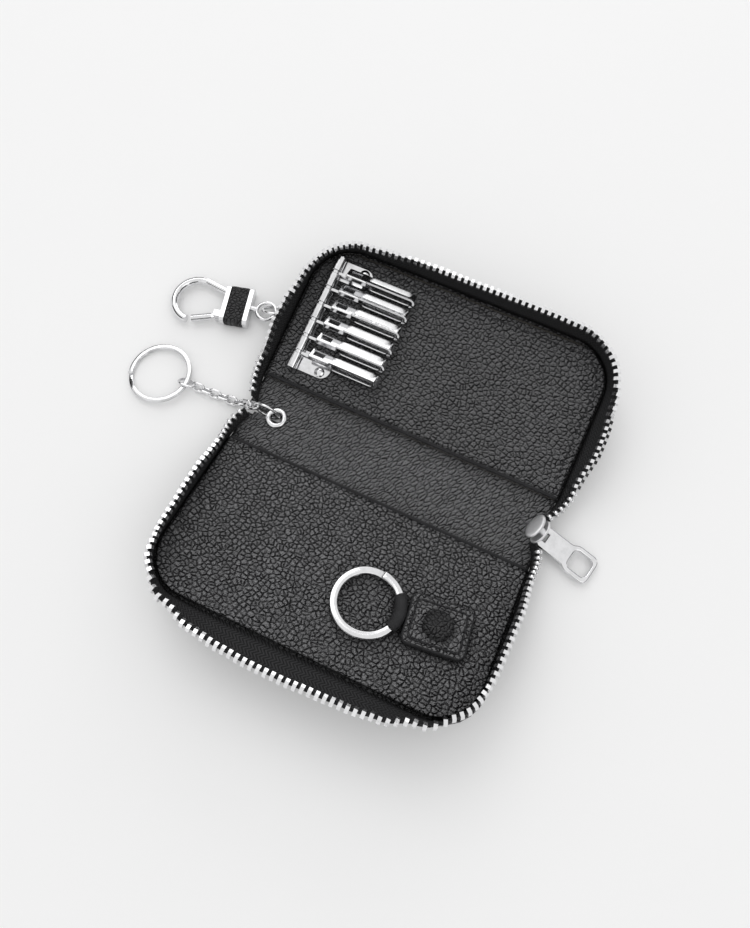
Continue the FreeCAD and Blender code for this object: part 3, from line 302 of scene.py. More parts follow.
PEBBLE = pebbled_leather("pebbled_leather", 1.5, 0.205, 0.0005, 0.75, 22.0, 0.6, 0.05)
FOLD_PEBBLE = pebbled_leather("folded_pebbled_leather", 1.5, 0.205, 0.0005, 0.75, 22.0, 0.6, 0.05, "UV")
SOFT_PEBBLE = pebbled_leather("soft_pebbled_leather", 1.6, 0.147, 0.00045, 0.8, 22.0, 0.4, 0.0)
FINE_PEBBLE = pebbled_leather("fine_pebbled_leather", 1.5, 0.2, 0.0004, 0.85, 22.0, 0.5, 0.1)
DARK_PEBBLE = pebbled_leather("dark_pebbled_leather", 1.4, 0.055, 0.0004, 0.9, 22.0, 0.4, 0.0)
LINING = pebbled_leather("creased_lining", 1.3, 0.165, 0.00035, 0.45, -59.0, 0.35, 0.0)
CALF = calf_leather("smooth_leather")
EDGE = inked_edge("inked_leather_edge")
TAPE = woven_tape("herringbone_tape")
THREAD = waxed_thread("black_thread")
SATIN = plated_metal("satin_nickel", (0.84, 0.84, 0.85), 0.2, 0.32)
BRUSHED = plated_metal("brushed_nickel", (0.86, 0.86, 0.87), 0.42, 0.52)
METAL = plated_metal("polished_nickel", (0.80, 0.80, 0.81), 0.07, 0.17)
TEETH = plated_metal("zip_tooth_nickel", (0.84, 0.84, 0.85), 0.08, 0.18)
BOARD = pressed_board("fibre_board")


# Mesh building
def piece(name, points, faces, finishes, place=Matrix(), wall=(), runs=None):
    """A new mesh from points in millimetres; faces listed in wall take the second finish."""
    mesh = bpy.data.meshes.new(name)
    mesh.from_pydata([place @ Vector(p) * MM for p in points], [], faces)
    made = bpy.data.objects.new(name, mesh)
    bpy.context.collection.objects.link(made)
    for finish in finishes:
        mesh.materials.append(finish)
    for number in wall:
        mesh.polygons[number].material_index = 1
    if runs:
        layer = mesh.uv_layers.new(name="weave")
        for corner in mesh.loops:
            layer.data[corner.index].uv = runs[corner.vertex_index]
    shell = bmesh.new()
    shell.from_mesh(mesh)
    bmesh.ops.recalc_face_normals(shell, faces=shell.faces)
    shell.to_mesh(mesh)
    shell.free()
    mesh.shade_smooth()
    return made


def loft(rings, closed_along=False):
    """Faces through rings of equally many points, each ring closed, with a cap at each open end."""
    points = [p for ring in rings for p in ring]
    count = len(rings[0])
    faces = []
    last = len(rings) if closed_along else len(rings) - 1
    for i in range(last):
        here = i * count
        there = (i + 1) % len(rings) * count
        for j in range(count):
            k = (j + 1) % count
            faces.append((here + j, here + k, there + k, there + j))
    if not closed_along:
        faces.append(tuple(range(count)))
        faces.append(tuple(range(len(points) - count, len(points))))
    return points, faces


def gather(parts):
    """Several point and face lists as one."""
    points = []
    faces = []
    for more, sides in parts:
        start = len(points)
        points += more
        faces += [tuple(start + n for n in side) for side in sides]
    return points, faces


END_LINES = (0.0, 0.12, 0.35, 0.7, 1.2, 2.0)
CLOSEST_LINES = 0.06


def spread(low, high, step, extra=()):
    """Grid lines from low to high: close together at both ends, even between, and at given places."""
    last = END_LINES[-1]
    middle = high - low - 2 * last
    count = max(int(middle / step), 1)
    marks = [low + line for line in END_LINES] + [high - line for line in END_LINES] + list(extra)
    marks += [low + last + middle * i / count for i in range(count + 1)]
    kept = []
    for mark in sorted({round(mark, 4) for mark in marks}):
        if not kept or mark - kept[-1] > CLOSEST_LINES:
            kept.append(mark)
    return kept


def leaf(rows, columns, span, top, low, hollow=None):
    """A thick sheet over a grid: span gives its left and right ends at a row, hollow the cells left out."""
    middle = (columns[0] + columns[-1]) / 2
    half = (columns[-1] - columns[0]) / 2
    points = []
    for rise in (low, top):
        for y in rows:
            left, right = span(y)
            for column in columns:
                share = (column - middle) / half
                x = (left + right) / 2 + share * (right - left) / 2
                points.append((x, y, rise(x, y)))
    wide = len(columns)
    flat = len(rows) * wide
    kept = {(i, j) for i in range(len(rows) - 1) for j in range(wide - 1)
            if not (hollow and hollow((columns[j] + columns[j + 1]) / 2, (rows[i] + rows[i + 1]) / 2))}
    faces = []
    wall = []
    for i, j in sorted(kept):
        corners = [i * wide + j, i * wide + j + 1, (i + 1) * wide + j + 1, (i + 1) * wide + j]
        faces.append(tuple(reversed(corners)))
        faces.append(tuple(flat + c for c in corners))
        for side, step in enumerate(((-1, 0), (0, 1), (1, 0), (0, -1))):
            if (i + step[0], j + step[1]) not in kept:
                a = corners[side]
                b = corners[(side + 1) % 4]
                wall.append(len(faces))
                faces.append((a, b, flat + b, flat + a))
    return points, faces, wall


def round_over(distance, radius):
    """How far a rounded edge has fallen at a distance in from it."""
    if distance >= radius:
        return 0.0
    share = 1 - max(distance, 0.0) / radius
    return radius * (1 - sqrt(max(1 - share * share, 0.0)))


def ripple(x, y, size, seed=0.0):
    """A smooth unevenness between about -1 and 1, of a given size."""
    return noise.noise(Vector((x / size, y / size, seed)))


EULER = 2.718


def dip(distance, width):
    """A narrow pressed line."""
    return EULER ** (-(distance / width) ** 2)


def ease(share):
    """A soft step from 0 to 1."""
    share = min(max(share, 0.0), 1.0)
    return share * share * (3 - 2 * share)


def arc_points(centre, radius, start, end, count):
    """Points along an arc, both ends included."""
    return [(centre[0] + radius * cos(start + (end - start) * k / count),
             centre[1] + radius * sin(start + (end - start) * k / count)) for k in range(count + 1)]


def circle(radius, count, centre=(0.0, 0.0)):
    """A ring of points, the first not repeated."""
    return arc_points(centre, radius, 0, 2 * pi, count)[:-1]


def stitches(path, lift, length=2.3, gap=0.75, radius=0.27):
    """Separate sunken stitches along a path of points, each one arched between its two holes."""
    parts = []
    runs = [0.0]
    for a, b in zip(path, path[1:]):
        runs.append(runs[-1] + (b - a).length)

    def along(run):
        for k in range(len(path) - 1):
            if run <= runs[k + 1] or k == len(path) - 2:
                share = (run - runs[k]) / max(runs[k + 1] - runs[k], 1e-6)
                return path[k].lerp(path[k + 1], share)

    start = gap
    while start + length < runs[-1]:
        a = along(start)
        b = along(start + length)
        ahead = (b - a).normalized()
        side = lift.cross(ahead).normalized()
        up = ahead.cross(side)
        rings = []
        for step in range(7):
            share = step / 6
            arch = sin(pi * share)
            slant = side * (share - 0.5) * 0.16
            centre = a.lerp(b, share) + up * (radius * 0.75 * arch - radius * 0.35) + slant
            size = radius * (0.45 + 0.55 * arch ** 0.5)
            rings.append([tuple(centre + side * across + up * rise * 0.8)
                          for across, rise in circle(size, 8)])
        parts.append(loft(rings))
        start += length + gap
    return gather(parts)


def turned(profile, count=48):
    """A lathe form about z from a closed profile of radius and height."""
    rings = [[(r * x, r * y, z) for r, z in profile] for x, y in circle(1.0, count)]
    return loft(rings, closed_along=True)


def rounded_box(width, height, radius, count=5):
    """A rounded rectangle about the origin as a ring of points."""
    points = []
    for sx, sy, start in ((1, 1, 0), (-1, 1, pi / 2), (-1, -1, pi), (1, -1, 3 * pi / 2)):
        centre = sx * (width / 2 - radius), sy * (height / 2 - radius)
        points += arc_points(centre, radius, start, start + pi / 2, count)
    return points


def stamped(outlines, low, high, edge):
    """A flat stamping with softened edges: the first outline is its rim, the others are holes."""
    drawn = bpy.data.curves.new("stamping", "CURVE")
    drawn.dimensions = "2D"
    drawn.fill_mode = "BOTH"
    drawn.extrude = (high - low) / 2 - edge
    drawn.bevel_depth = edge
    drawn.bevel_resolution = 4
    drawn.offset = -edge
    for outline in outlines:
        line = drawn.splines.new("POLY")
        line.points.add(len(outline) - 1)
        for spot, (x, y) in zip(line.points, outline):
            spot.co = (x, y, 0, 1)
        line.use_cyclic_u = True
    holder = bpy.data.objects.new("stamping", drawn)
    flat = bpy.data.meshes.new_from_object(holder)
    middle = (low + high) / 2
    points = [(v.co.x, v.co.y, v.co.z + middle) for v in flat.vertices]
    faces = [tuple(face.vertices) for face in flat.polygons]
    bpy.data.objects.remove(holder)
    bpy.data.meshes.remove(flat)
    return points, faces


# Leather of the two halves: outer covers, inner panels with a welt, and the folds to the spine.
# OPEN_END stands for a near edge that is too far off to be rounded.
COVER_NEAR = 1.6
COVER_GRID = 3.2
PANEL_GRID = 3.0
HEM_LINES = (1.4, 1.7, 2.0, 2.3, 2.6, 3.0, 3.6, 4.2, 4.5, 4.8, 5.1, 5.6)
WELT_SETBACK = 0.72
WELT = (0.62, 0.5)
FOLD_FROM = -1.7
FOLD_REACH = 5.0
FOLD_BEND = 1.4
OPEN_END = -9


def half_span(depth, corner, length, centre=0.0):
    """Ends of each row of a half, which is rounded at its two far corners."""
    def span(y):
        inset = 0.0
        over = y - (depth - corner)
        if over > 0:
            inset = corner - sqrt(max(corner * corner - over * over, 0.0))
        return centre - length / 2 + inset, centre + length / 2 - inset
    return span


def nearest(span, near, far, x, y):
    """Distance of a point of a sheet from its closest edge."""
    left, right = span(y)
    return min(x - left, right - x, far - y, y - near)


for half, facts in HALVES.items():
    body = facts["body"]
    place = PLACE[half]
    depth = facts["depth"]
    span = half_span(depth, COVER_CORNER, COVER_LENGTH)
    rows = spread(COVER_NEAR, depth, COVER_GRID)
    columns = spread(-COVER_LENGTH / 2, COVER_LENGTH / 2, COVER_GRID)
    points, faces, wall = leaf(
        rows, columns, span,
        lambda x, y: COVER - 0.03 - round_over(nearest(span, OPEN_END, depth, x, y), 0.5),
        lambda x, y: (round_over(nearest(span, OPEN_END, depth, x, y), 0.7)
                      + 0.06 * (1 + ripple(x, y, 21.0, 3.0))))
    cover = piece(half + "_outer_leather", points, faces, [PEBBLE, EDGE], place, wall)
    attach(cover, body)
    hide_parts(half + "_cover")

    panel_far = PANEL_SETBACK + facts["panel"]
    panel_span = half_span(panel_far, facts["corner"], PANEL_LENGTH, facts["shift"])
    hem = [PANEL_SETBACK + line for line in HEM_LINES]
    rows = spread(PANEL_SETBACK, panel_far, PANEL_GRID, extra=hem)
    columns = spread(-PANEL_LENGTH / 2, PANEL_LENGTH / 2, PANEL_GRID)

    def panel_top(x, y):
        """A padded sheet with a folded hem along the spine, pressed down beside its welt."""
        edge = nearest(panel_span, PANEL_SETBACK, panel_far, x, y)
        inward = y - PANEL_SETBACK
        swell = 0.16 * ripple(x, y, 24.0, 7.0) * min(edge / 5, 1.0) + 0.1
        fold_edge = 0.16 * (1 - ease((inward - 4.3) / 0.5))
        pressed = 0.55 * dip(inward - 1.75, 0.3) + 0.16 * dip(inward - 4.7, 0.25)
        return PANEL_TOP - 0.14 + swell + fold_edge - pressed - round_over(edge, 0.75)

    points, faces, wall = leaf(rows, columns, panel_span, panel_top, lambda x, y: PANEL_LOW + 0.02)
    grained = SOFT_PEBBLE if half == "upper" else PEBBLE
    panel = piece(half + "_panel_leather", points, faces, [grained, EDGE], place, wall)
    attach(panel, body)
    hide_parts(half + "_panel")

    left, right = panel_span(PANEL_SETBACK)
    welt = []
    for x in spread(left + 0.15, right - 0.15, 2.0):
        full = min(1.0, 0.45 + 0.55 * min(x - left, right - x) / 1.2)
        middle = PANEL_TOP + 0.12 + 0.03 * ripple(x, 0.0, 7.0)
        welt.append([(x, PANEL_SETBACK + WELT_SETBACK + WELT[0] * y, middle + WELT[1] * z)
                     for y, z in circle(full, 14)])
    points, faces = loft(welt)
    bead = piece(half + "_panel_welt", points, faces, [CALF], place)
    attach(bead, body)

    sign = 1 if half == "upper" else -1
    for layer, low, high, finish in (("outer", 0.05, COVER - 0.04, FOLD_PEBBLE),
                                     ("inner", COVER + 0.02, LINING_TOP - 0.12, LINING)):
        rings = []
        for column in range(61):
            reach = (SPINE_LENGTH / 2 - 0.6) * (column / 30 - 1)
            loop = []
            for height, order in ((low, 1), (high, -1)):
                for step in range(13)[::order]:
                    over = FOLD_FROM + FOLD_REACH * step / 12
                    flat = Vector((reach, HALF_SPINE + over, height))
                    bent = UPPER @ Vector((reach, over, height))
                    loop.append(tuple(flat.lerp(bent, ease((over + FOLD_BEND) / (2 * FOLD_BEND)))))
            rings.append(loop)
        points, faces = loft(rings)
        fold = piece(f"{half}_fold_{layer}", points, faces, [finish],
                     Matrix() if half == "upper" else Matrix.Rotation(pi, 4, "Z"),
                     runs=[(x * MM, y * MM) for x, y, z in points])
        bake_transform(fold)

# Spine: the slit that the eyelet's ring passes through starts under the eyelet and widens for the chain
SLIT = 1.1
SLIT_MOUTH = 2.25
SLIT_MOUTH_FROM = -57.0
SLIT_LINES = (-SLIT_MOUTH, -SLIT, SLIT, SLIT_MOUTH)
COVER_SLIT_FROM = -43.4
LINING_SLIT_FROM = -52.2
EYELET_HOLE = 2.6
SPINE_WIDE = 11.2
LINING_WIDE = 11.7
LINING_END = 59.4


def slotted(x, y):
    return abs(y) < (SLIT if x > SLIT_MOUTH_FROM else SLIT_MOUTH)


spine_rows = spread(-SPINE_WIDE, SPINE_WIDE, 2.4, extra=SLIT_LINES)
spine_columns = spread(-SPINE_LENGTH / 2, SPINE_LENGTH / 2, 3.0, extra=(SLIT_MOUTH_FROM, COVER_SLIT_FROM))
points, faces, wall = leaf(
    spine_rows, spine_columns, lambda y: (-SPINE_LENGTH / 2, SPINE_LENGTH / 2),
    lambda x, y: COVER - 0.03,
    lambda x, y: round_over(SPINE_LENGTH / 2 - abs(x), 0.6) + 0.05 * (1 + ripple(x, y, 15.0, 5.0)),
    lambda x, y: x < COVER_SLIT_FROM and slotted(x, y))
spine_leather = piece("spine_outer_leather", points, faces, [PEBBLE, EDGE], wall=wall)
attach(spine_leather, "spine")
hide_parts("spine_cover")


def lining_span(y):
    """The lining ends in a curved notch under the slider and bows a little at the chain end."""
    return 0.1 - LINING_END + 0.5 * dip(y, 6.0), LINING_END - 4.6 * dip(y, 3.6)


def lining_top(x, y):
    creases = 0.16 * ripple(x * 0.5, y * 1.6, 5.0, 11.0) + 0.1 * ripple(x, y, 2.4, 4.0)
    left, right = lining_span(y)
    return LINING_TOP - 0.12 + creases * 0.7 - round_over(min(x - left, right - x), 0.4)


def lining_open(x, y):
    if abs(x - EYELET[0]) < EYELET_HOLE and abs(y) < EYELET_HOLE:
        return True
    return x < LINING_SLIT_FROM and slotted(x, y)


lining_rows = spread(-LINING_WIDE, LINING_WIDE, 0.9, extra=(-EYELET_HOLE, EYELET_HOLE, *SLIT_LINES))
lining_columns = spread(-LINING_END, LINING_END, 1.1, extra=(
    SLIT_MOUTH_FROM, EYELET[0] - EYELET_HOLE, EYELET[0] + EYELET_HOLE, LINING_SLIT_FROM))
points, faces, wall = leaf(lining_rows, lining_columns, lining_span, lining_top,
                           lambda x, y: COVER + 0.02, lining_open)
lining = piece("spine_lining_leather", points, faces, [LINING, EDGE], wall=wall)
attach(lining, "spine")
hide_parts("spine_lining")

# Stitching along the far edge and the right side of the upper panel
SEAM_INSET = 3.0
seam_far = PANEL_SETBACK + HALVES["upper"]["panel"] - SEAM_INSET
seam_right = PANEL_LENGTH / 2 + HALVES["upper"]["shift"] - SEAM_INSET
corner = HALVES["upper"]["corner"] - SEAM_INSET
seam_line = [(9.0 - PANEL_LENGTH / 2, seam_far), (seam_right - corner, seam_far)]
seam_line += arc_points((seam_right - corner, seam_far - corner), corner, pi / 2, 0, 8)
seam_line.append((seam_right, PANEL_SETBACK + 6.5))
points, faces = stitches([Vector((x, y, PANEL_TOP + 0.06)) for x, y in seam_line], UP)
seam = piece("upper_panel_stitching", points, faces, [THREAD], UPPER)
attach(seam, "key_half")


# Zip tapes: a wall of woven tape round each half, and short lengths that turn over the folds
RIM_INSET = TAPE_INSET + TAPE_THICK / 2


def rim_point(depth, run):
    """Point and outward direction at a run along the rim."""
    half_length = COVER_LENGTH / 2 - RIM_INSET
    far = depth - RIM_INSET
    radius = COVER_CORNER - RIM_INSET
    side = far - radius - TAPE_START
    top = 2 * (half_length - radius)
    bend = radius * pi / 2
    if run <= side:
        return Vector((-half_length, TAPE_START + run, 0)), Vector((-1, 0, 0))
    if run <= side + bend:
        angle = (run - side) / radius
        out = Vector((-cos(angle), sin(angle), 0))
        return Vector((-half_length + radius, far - radius, 0)) + out * radius, out
    if run <= side + bend + top:
        return Vector((-half_length + radius + run - side - bend, far, 0)), Vector((0, 1, 0))
    if run <= side + 2 * bend + top:
        angle = (run - side - bend - top) / radius
        out = Vector((sin(angle), cos(angle), 0))
        return Vector((half_length - radius, far - radius, 0)) + out * radius, out
    down = run - side - 2 * bend - top
    return Vector((half_length, far - radius - down, 0)), Vector((1, 0, 0))


def rim_length(depth):
    """Run of the tape from one end of a half's rim to the other."""
    radius = COVER_CORNER - RIM_INSET
    return 2 * (depth - COVER_CORNER - TAPE_START) + radius * pi + 2 * (COVER_LENGTH / 2 - COVER_CORNER)


def rim_frame(facts, run):
    """Foot of the tape, its outward face, the way up it and its width at a run."""
    foot, out = rim_point(facts["depth"], run)
    leans = facts["leans"]
    length = rim_length(facts["depth"])
    place = min(max(run / length, 0.0), 1.0) * (len(leans) - 1)
    first = min(int(place), len(leans) - 2)
    lean = radians(leans[first] + (leans[first + 1] - leans[first]) * ease(place - first))
    up = UP * cos(lean) + out * sin(lean)
    face = out * cos(lean) - UP * sin(lean)
    width = TAPE_LOW + (TAPE_WIDE - TAPE_LOW) * ease(min(run, length - run) / TAPE_RISE)
    lift = 0.2 + abs(face.z) * TAPE_THICK / 2
    return foot + UP * (COVER + lift), face, up, width


def tape_ring(foot, face, up, width):
    """One cross-section of tape: thin, with a corded edge where the teeth grip it."""
    half = TAPE_THICK / 2 * 0.7
    bead = TAPE_THICK / 2
    width = width + BEAD_RISE
    flank = [(half, width * 0.3), (half, width * 0.55), (half, width - 1.3), (bead, width - 0.8),
             (bead * 0.8, width - 0.2)]
    sides = [(-half, 0.0), (half, 0.0), *flank, (0.0, width), *((-a, b) for a, b in reversed(flank))]
    return [tuple(foot + face * a + up * b) for a, b in sides], [b for a, b in sides]


def tape_piece(name, frames, place):
    """A length of tape through frames given as run, foot, face, up and width."""
    rings = []
    runs = []
    for run, *stand in frames:
        ring, rises = tape_ring(*stand)
        rings.append(ring)
        runs += [(run, rise) for rise in rises]
    points, faces = loft(rings)
    return piece(name, points, faces, [TAPE], place, runs=runs)


def tooth_form(foot, face, up):
    """One cast tooth: a block with a tapered, softly rounded nose."""
    thick, deep, tall = TOOTH
    along = face.cross(up)
    rings = []
    for share, grow in ((0.0, 0.82), (0.12, 1.0), (0.88, 1.0), (1.0, 0.82)):
        outline = [(-deep / 2, 0.0), (deep / 2, 0.0), (deep / 2, tall * 0.55), (deep * 0.27, tall),
                   (-deep * 0.27, tall), (-deep / 2, tall * 0.55)]
        rings.append([tuple(foot + along * thick * (share - 0.5) + face * y * grow
                            + up * (tall / 2 + (z - tall / 2) * grow)) for y, z in outline])
    return loft(rings)


def curve_point(handles, share):
    """Point on a four-handle curve."""
    a, b, c, d = handles
    rest = 1 - share
    return a * rest ** 3 + b * 3 * rest * rest * share + c * 3 * rest * share * share + d * share ** 3


TAPE_STEP = 2.5
TURN_STEPS = 14
TURN_RUN = 16.0
TURN_END_WIDTH = 3.4
TURN_LEVEL = LINING_TOP + 0.1
TURN_BEND = (60.4, 9.5)
TURN_END = {"left": (57.6, 3.4), "right": (57.0, 4.9)}
TURN_TEETH = 6
TURN_TEETH_SPAN = 6.3
TEETH_SPAN_BY_PULL = 7.2
for half, facts in HALVES.items():
    length = rim_length(facts["depth"])
    steps = int(length / TAPE_STEP)
    frames = [(length * k / steps, *rim_frame(facts, length * k / steps)) for k in range(steps + 1)]
    tape = tape_piece(half + "_woven_tape", frames, PLACE[half])
    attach(tape, facts["body"])
    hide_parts(half + "_zip_tape")

    sign = 1 if half == "upper" else -1
    for end in ("left", "right"):
        side = -1 if end == "left" else 1
        place = PLACE[half]
        foot, face, up, width = rim_frame(facts, 0.0 if side * sign < 0 else length)
        bend, last = (Vector((side * x, sign * y, TURN_LEVEL)) for x, y in (TURN_BEND, TURN_END[end]))
        handles = [place @ foot, place @ (foot - Vector((0, 6.5, 0))), bend, last]
        up_here = place.to_3x3() @ up
        up_there = Vector((side * 0.35, 0, 0.94)).normalized()
        frames = []
        for k in range(TURN_STEPS + 1):
            share = k / TURN_STEPS
            spot = curve_point(handles, share)
            after = curve_point(handles, min(share + 0.01, 1.0))
            ahead = (after - curve_point(handles, max(share - 0.01, 0.0))).normalized()
            rise = up_here.lerp(up_there, ease(share))
            rise = (rise - ahead * rise.dot(ahead)).normalized()
            out = rise.cross(ahead)
            if out.x * side <= 0:
                out.negate()
            frames.append((share * TURN_RUN, spot, out, rise, width + (TURN_END_WIDTH - width) * ease(share)))
        reach = (0, sign * 0.0102, 0.003), (0, sign * 0.0165, 0.003)
        turn = tape_piece(f"{half}_{end}_tape_turn", frames, Matrix())
        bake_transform(turn)
        if half == "upper" and end == "right":
            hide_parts("spine_zip_tapes")
        teeth = []
        by_pull = half == "lower" and end == "right"
        for k in range(TURN_TEETH):
            mark = (k + 0.55) / (TEETH_SPAN_BY_PULL if by_pull else TURN_TEETH_SPAN) * TURN_STEPS
            low = int(mark)
            mix = mark - low
            first = frames[low]
            second = frames[min(low + 1, TURN_STEPS)]
            spot = first[1].lerp(second[1], mix)
            rise = first[3].lerp(second[3], mix).normalized()
            out = first[2].lerp(second[2], mix).normalized()
            wide = first[4] + (second[4] - first[4]) * mix
            teeth.append(tooth_form(spot + rise * (wide + TOOTH_GAP), out, rise))
        points, faces = gather(teeth)
        made = piece(f"{half}_{end}_turn_teeth", points, faces, [TEETH])
        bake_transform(made)

# Fob tab: padded leather with a stitched border, its ring loop and a flat split ring of two turns
FOB = PLACE["lower"] @ Matrix.Translation((-38.3, 36.4, PANEL_TOP)) @ Matrix.Rotation(radians(7.0), 4, "Z")
RING = FOB @ Matrix.Translation((24.5, 0, 2.25)) @ Matrix.Rotation(pi, 4, "Z")
TAB_LENGTH = 22.0
TAB_WIDTH = 18.2
TAB_LOW = 0.3
TAB_HIGH = 2.9
TAB_CORNER = 3.0
TAB_BORDER = 2.1
TAB_GRID = 0.5
CAP_GROOVE = 5.6


def tab_span(y):
    over = abs(y) - (TAB_WIDTH / 2 - TAB_CORNER)
    inset = TAB_CORNER - sqrt(max(TAB_CORNER ** 2 - over * over, 0.0)) if over > 0 else 0.0
    return -TAB_LENGTH / 2 + inset, TAB_LENGTH / 2 - inset


def tab_edge(x, y):
    return nearest(tab_span, -TAB_WIDTH / 2, TAB_WIDTH / 2, x, y)


def tab_top(x, y):
    """A padded sheet, pressed in along its stitched border and round the snap cap."""
    edge = tab_edge(x, y)
    pressed = 0.8 * dip(edge - TAB_BORDER, 0.42) + 0.5 * dip(sqrt(x * x + y * y) - CAP_GROOVE, 0.6)
    padded = 0.16 * ease(edge / 4) + 0.05 * ripple(x, y, 6.0)
    return TAB_HIGH - 0.12 + padded - pressed - round_over(edge, 0.8)


rows = spread(-TAB_WIDTH / 2, TAB_WIDTH / 2, TAB_GRID)
columns = spread(-TAB_LENGTH / 2, TAB_LENGTH / 2, TAB_GRID)
points, faces, wall = leaf(rows, columns, tab_span, tab_top,
                           lambda x, y: TAB_LOW + 0.02 + round_over(tab_edge(x, y), 0.5))
# The rounded rim and the pressed stitch groove take the smooth dark leather: smooth leather there, and
# painted shade along the tab's outline and in the groove.
for number, face in enumerate(faces):
    middle = sum((Vector(points[corner]) for corner in face), Vector()) / len(face)
    edge = tab_edge(middle.x, middle.y)
    if edge < 0.55 or abs(edge - TAB_BORDER) < 0.3:
        wall.append(number)
tab = piece("fob_tab_leather", points, faces, [FINE_PEBBLE, CALF], FOB, wall)
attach(tab, "fob")
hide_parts("fob_tab")

border = [Vector((x, y, TAB_HIGH - 0.3))
          for x, y in rounded_box(TAB_LENGTH - 2 * TAB_BORDER, TAB_WIDTH - 2 * TAB_BORDER, 1.4)]
points, faces = stitches(border + border[:1], UP, 1.9, 0.6, 0.3)
border_seam = piece("fob_tab_stitching", points, faces, [THREAD], FOB)
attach(border_seam, "fob")

LOOP_SWEEP = radians(64.0)
LOOP_MIDDLE = (11.25, 0.0)
shell = []
bore = []
for k in range(25):
    share = k / 24
    angle = LOOP_SWEEP * (share - 0.5)
    swell = 1.0 - 0.1 * (2 * share - 1) ** 4
    outer = circle(2.2 * swell, 20, LOOP_MIDDLE)
    inner = list(reversed(arc_points(LOOP_MIDDLE, 1.66, 2 * pi, 0, 20)[:-1]))
    for rings, ring in ((shell, outer), (bore, inner)):
        rings.append([(x * cos(angle), x * sin(angle), z) for x, z in ring])
points, faces = loft(shell + bore[::-1], closed_along=True)
loop = piece("ring_loop_leather", points, faces, [CALF], RING)
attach(loop, "fob_loop")
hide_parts("ring_loop")


def split_ring(outer, width, height, start):
    """A flat wire wound twice round, stepping from the lower turn to the upper one."""
    ramp = radians(38.0)
    turns = 4 * pi - ramp
    count = 150
    rings = []
    for k in range(count + 1):
        angle = turns * k / count
        climb = ease((angle - (2 * pi - ramp)) / ramp)
        level = -height / 4 + height / 2 * climb
        section = rounded_box(width, height / 2 - 0.04, 0.3, 3)
        taper = 1 - 0.25 * (1 - min(min(angle, turns - angle) / 0.05, 1.0))
        radii = [(outer - width / 2 + x, level + z * taper) for x, z in section]
        rings.append([(r * cos(start + angle), r * sin(start + angle), z) for r, z in radii])
    return loft(rings)


points, faces = split_ring(12.5, 2.5, 1.6, radians(118.0))
fob_ring = piece("fob_split_ring_wire", points, faces, [METAL], RING)
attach(fob_ring, "fob_split_ring")
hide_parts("fob_ring")

# Key hooks: a rolled rib along the back of each arm, and a crowned strip for each sprung gate
KEY_ROW = Matrix.Translation((-50.6, 20.1273, 6.2522)) @ Matrix.Rotation(TILT, 4, "X")
KEY_LEAN = Matrix.Rotation(radians(-34.0), 4, "X")
FIRST_KEY = 6.0643
KEY_PITCH = 6.81429
RAIL_HEIGHT = 2.3
GATE_WIDTHS = ((14.62, 0.95), (14.75, 1.35), (15.2, 1.66), (16.4, 1.78), (29.6, 1.78), (30.8, 1.7),
               (31.2, 1.5), (31.33, 1.2))
RIB_PLACES = (13.7, 14.1, 14.8, 15.6, 19.0, 24.0, 29.4, 30.2, 31.0, 31.5)
RIB_ENDS = (13.5, 31.7)
RIB_NEAR = -1.1
RIB_WIDE = 2.89
RIB_FOOT = 2.6
RIB_TOP = 2.74
for number in range(6):
    lying = KEY_ROW @ Matrix.Translation((0, FIRST_KEY + KEY_PITCH * number, RAIL_HEIGHT)) @ KEY_LEAN
    strip = []
    for x, half_wide in GATE_WIDTHS:
        crown = [(x, half_wide * k / 5, -0.14 - 0.2 * (k / 5) ** 2) for k in range(-5, 6)]
        strip.append(crown + [(x, half_wide, -0.8), (x, 0.0, -0.85), (x, -half_wide, -0.8)])
    points, faces = loft(strip)
    gate = piece(f"key_gate_strip_{number + 1}", points, faces, [SATIN], lying)
    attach(gate, f"gate_{number + 1}")
    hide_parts(f"key_gate_{number + 1}")
    back = []
    for x in RIB_PLACES:
        full = ease(min(x - RIB_ENDS[0], RIB_ENDS[1] - x) / 1.8)
        across = [RIB_NEAR + RIB_WIDE * k / 10 for k in range(11)]
        crown = [(x, y, RIB_TOP + full * (0.2 * (y - RIB_NEAR) - 0.08 * ((y - 0.35) / 1.45) ** 4))
                 for y in across]
        back.append(crown + [(x, across[-1], RIB_FOOT), (x, across[0], RIB_FOOT)])
    points, faces = loft(back)
    rib = piece(f"key_hook_rib_{number + 1}", points, faces, [SATIN], lying)
    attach(rib, f"hook_{number + 1}")

# Snap cap, eyelet and floor ring
DOME_ANGLES = (0.02, 0.16, 0.32, 0.5, 0.7, 0.9, 1.1, 1.3, 1.45)
dome = [(0.002, 2.95), (5.15, 2.95), (5.25, 3.1), (5.15, 3.3), (5.0, 3.36)]
dome += [(4.9 * cos(a), 3.42 + 2.53 * sin(a)) for a in DOME_ANGLES] + [(0.002, 5.95)]
points, faces = turned(dome, 64)
cap = piece("snap_cap_dome", points, faces, [DARK_PEBBLE], FOB)
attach(cap, "fob")
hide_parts("snap_cap")

rim = [(2.2, 1.62), (2.58, 1.62), (2.58, 2.86), (4.02, 2.86), (4.1, 2.96), (4.0, 3.14), (3.6, 3.34),
       (3.15, 3.42), (2.7, 3.38), (2.36, 3.2), (2.2, 2.92)]
points, faces = turned(rim, 56)
eyelet = piece("eyelet_rim", points, faces, [METAL], Matrix.Translation((*EYELET, 0)))
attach(eyelet, "spine")
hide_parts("eyelet")

FLOOR_RING = (Matrix.Translation((-97.832, -2.174, 1.694)) @ Matrix.Rotation(radians(-177.0), 4, "Z")
              @ Matrix.Rotation(radians(3.923), 4, "Y"))
points, faces = split_ring(12.5, 1.8, 1.6, radians(60.0))
floor_ring = piece("floor_split_ring_wire", points, faces, [METAL], FLOOR_RING)
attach(floor_ring, "floor_ring")
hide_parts("key_ring")

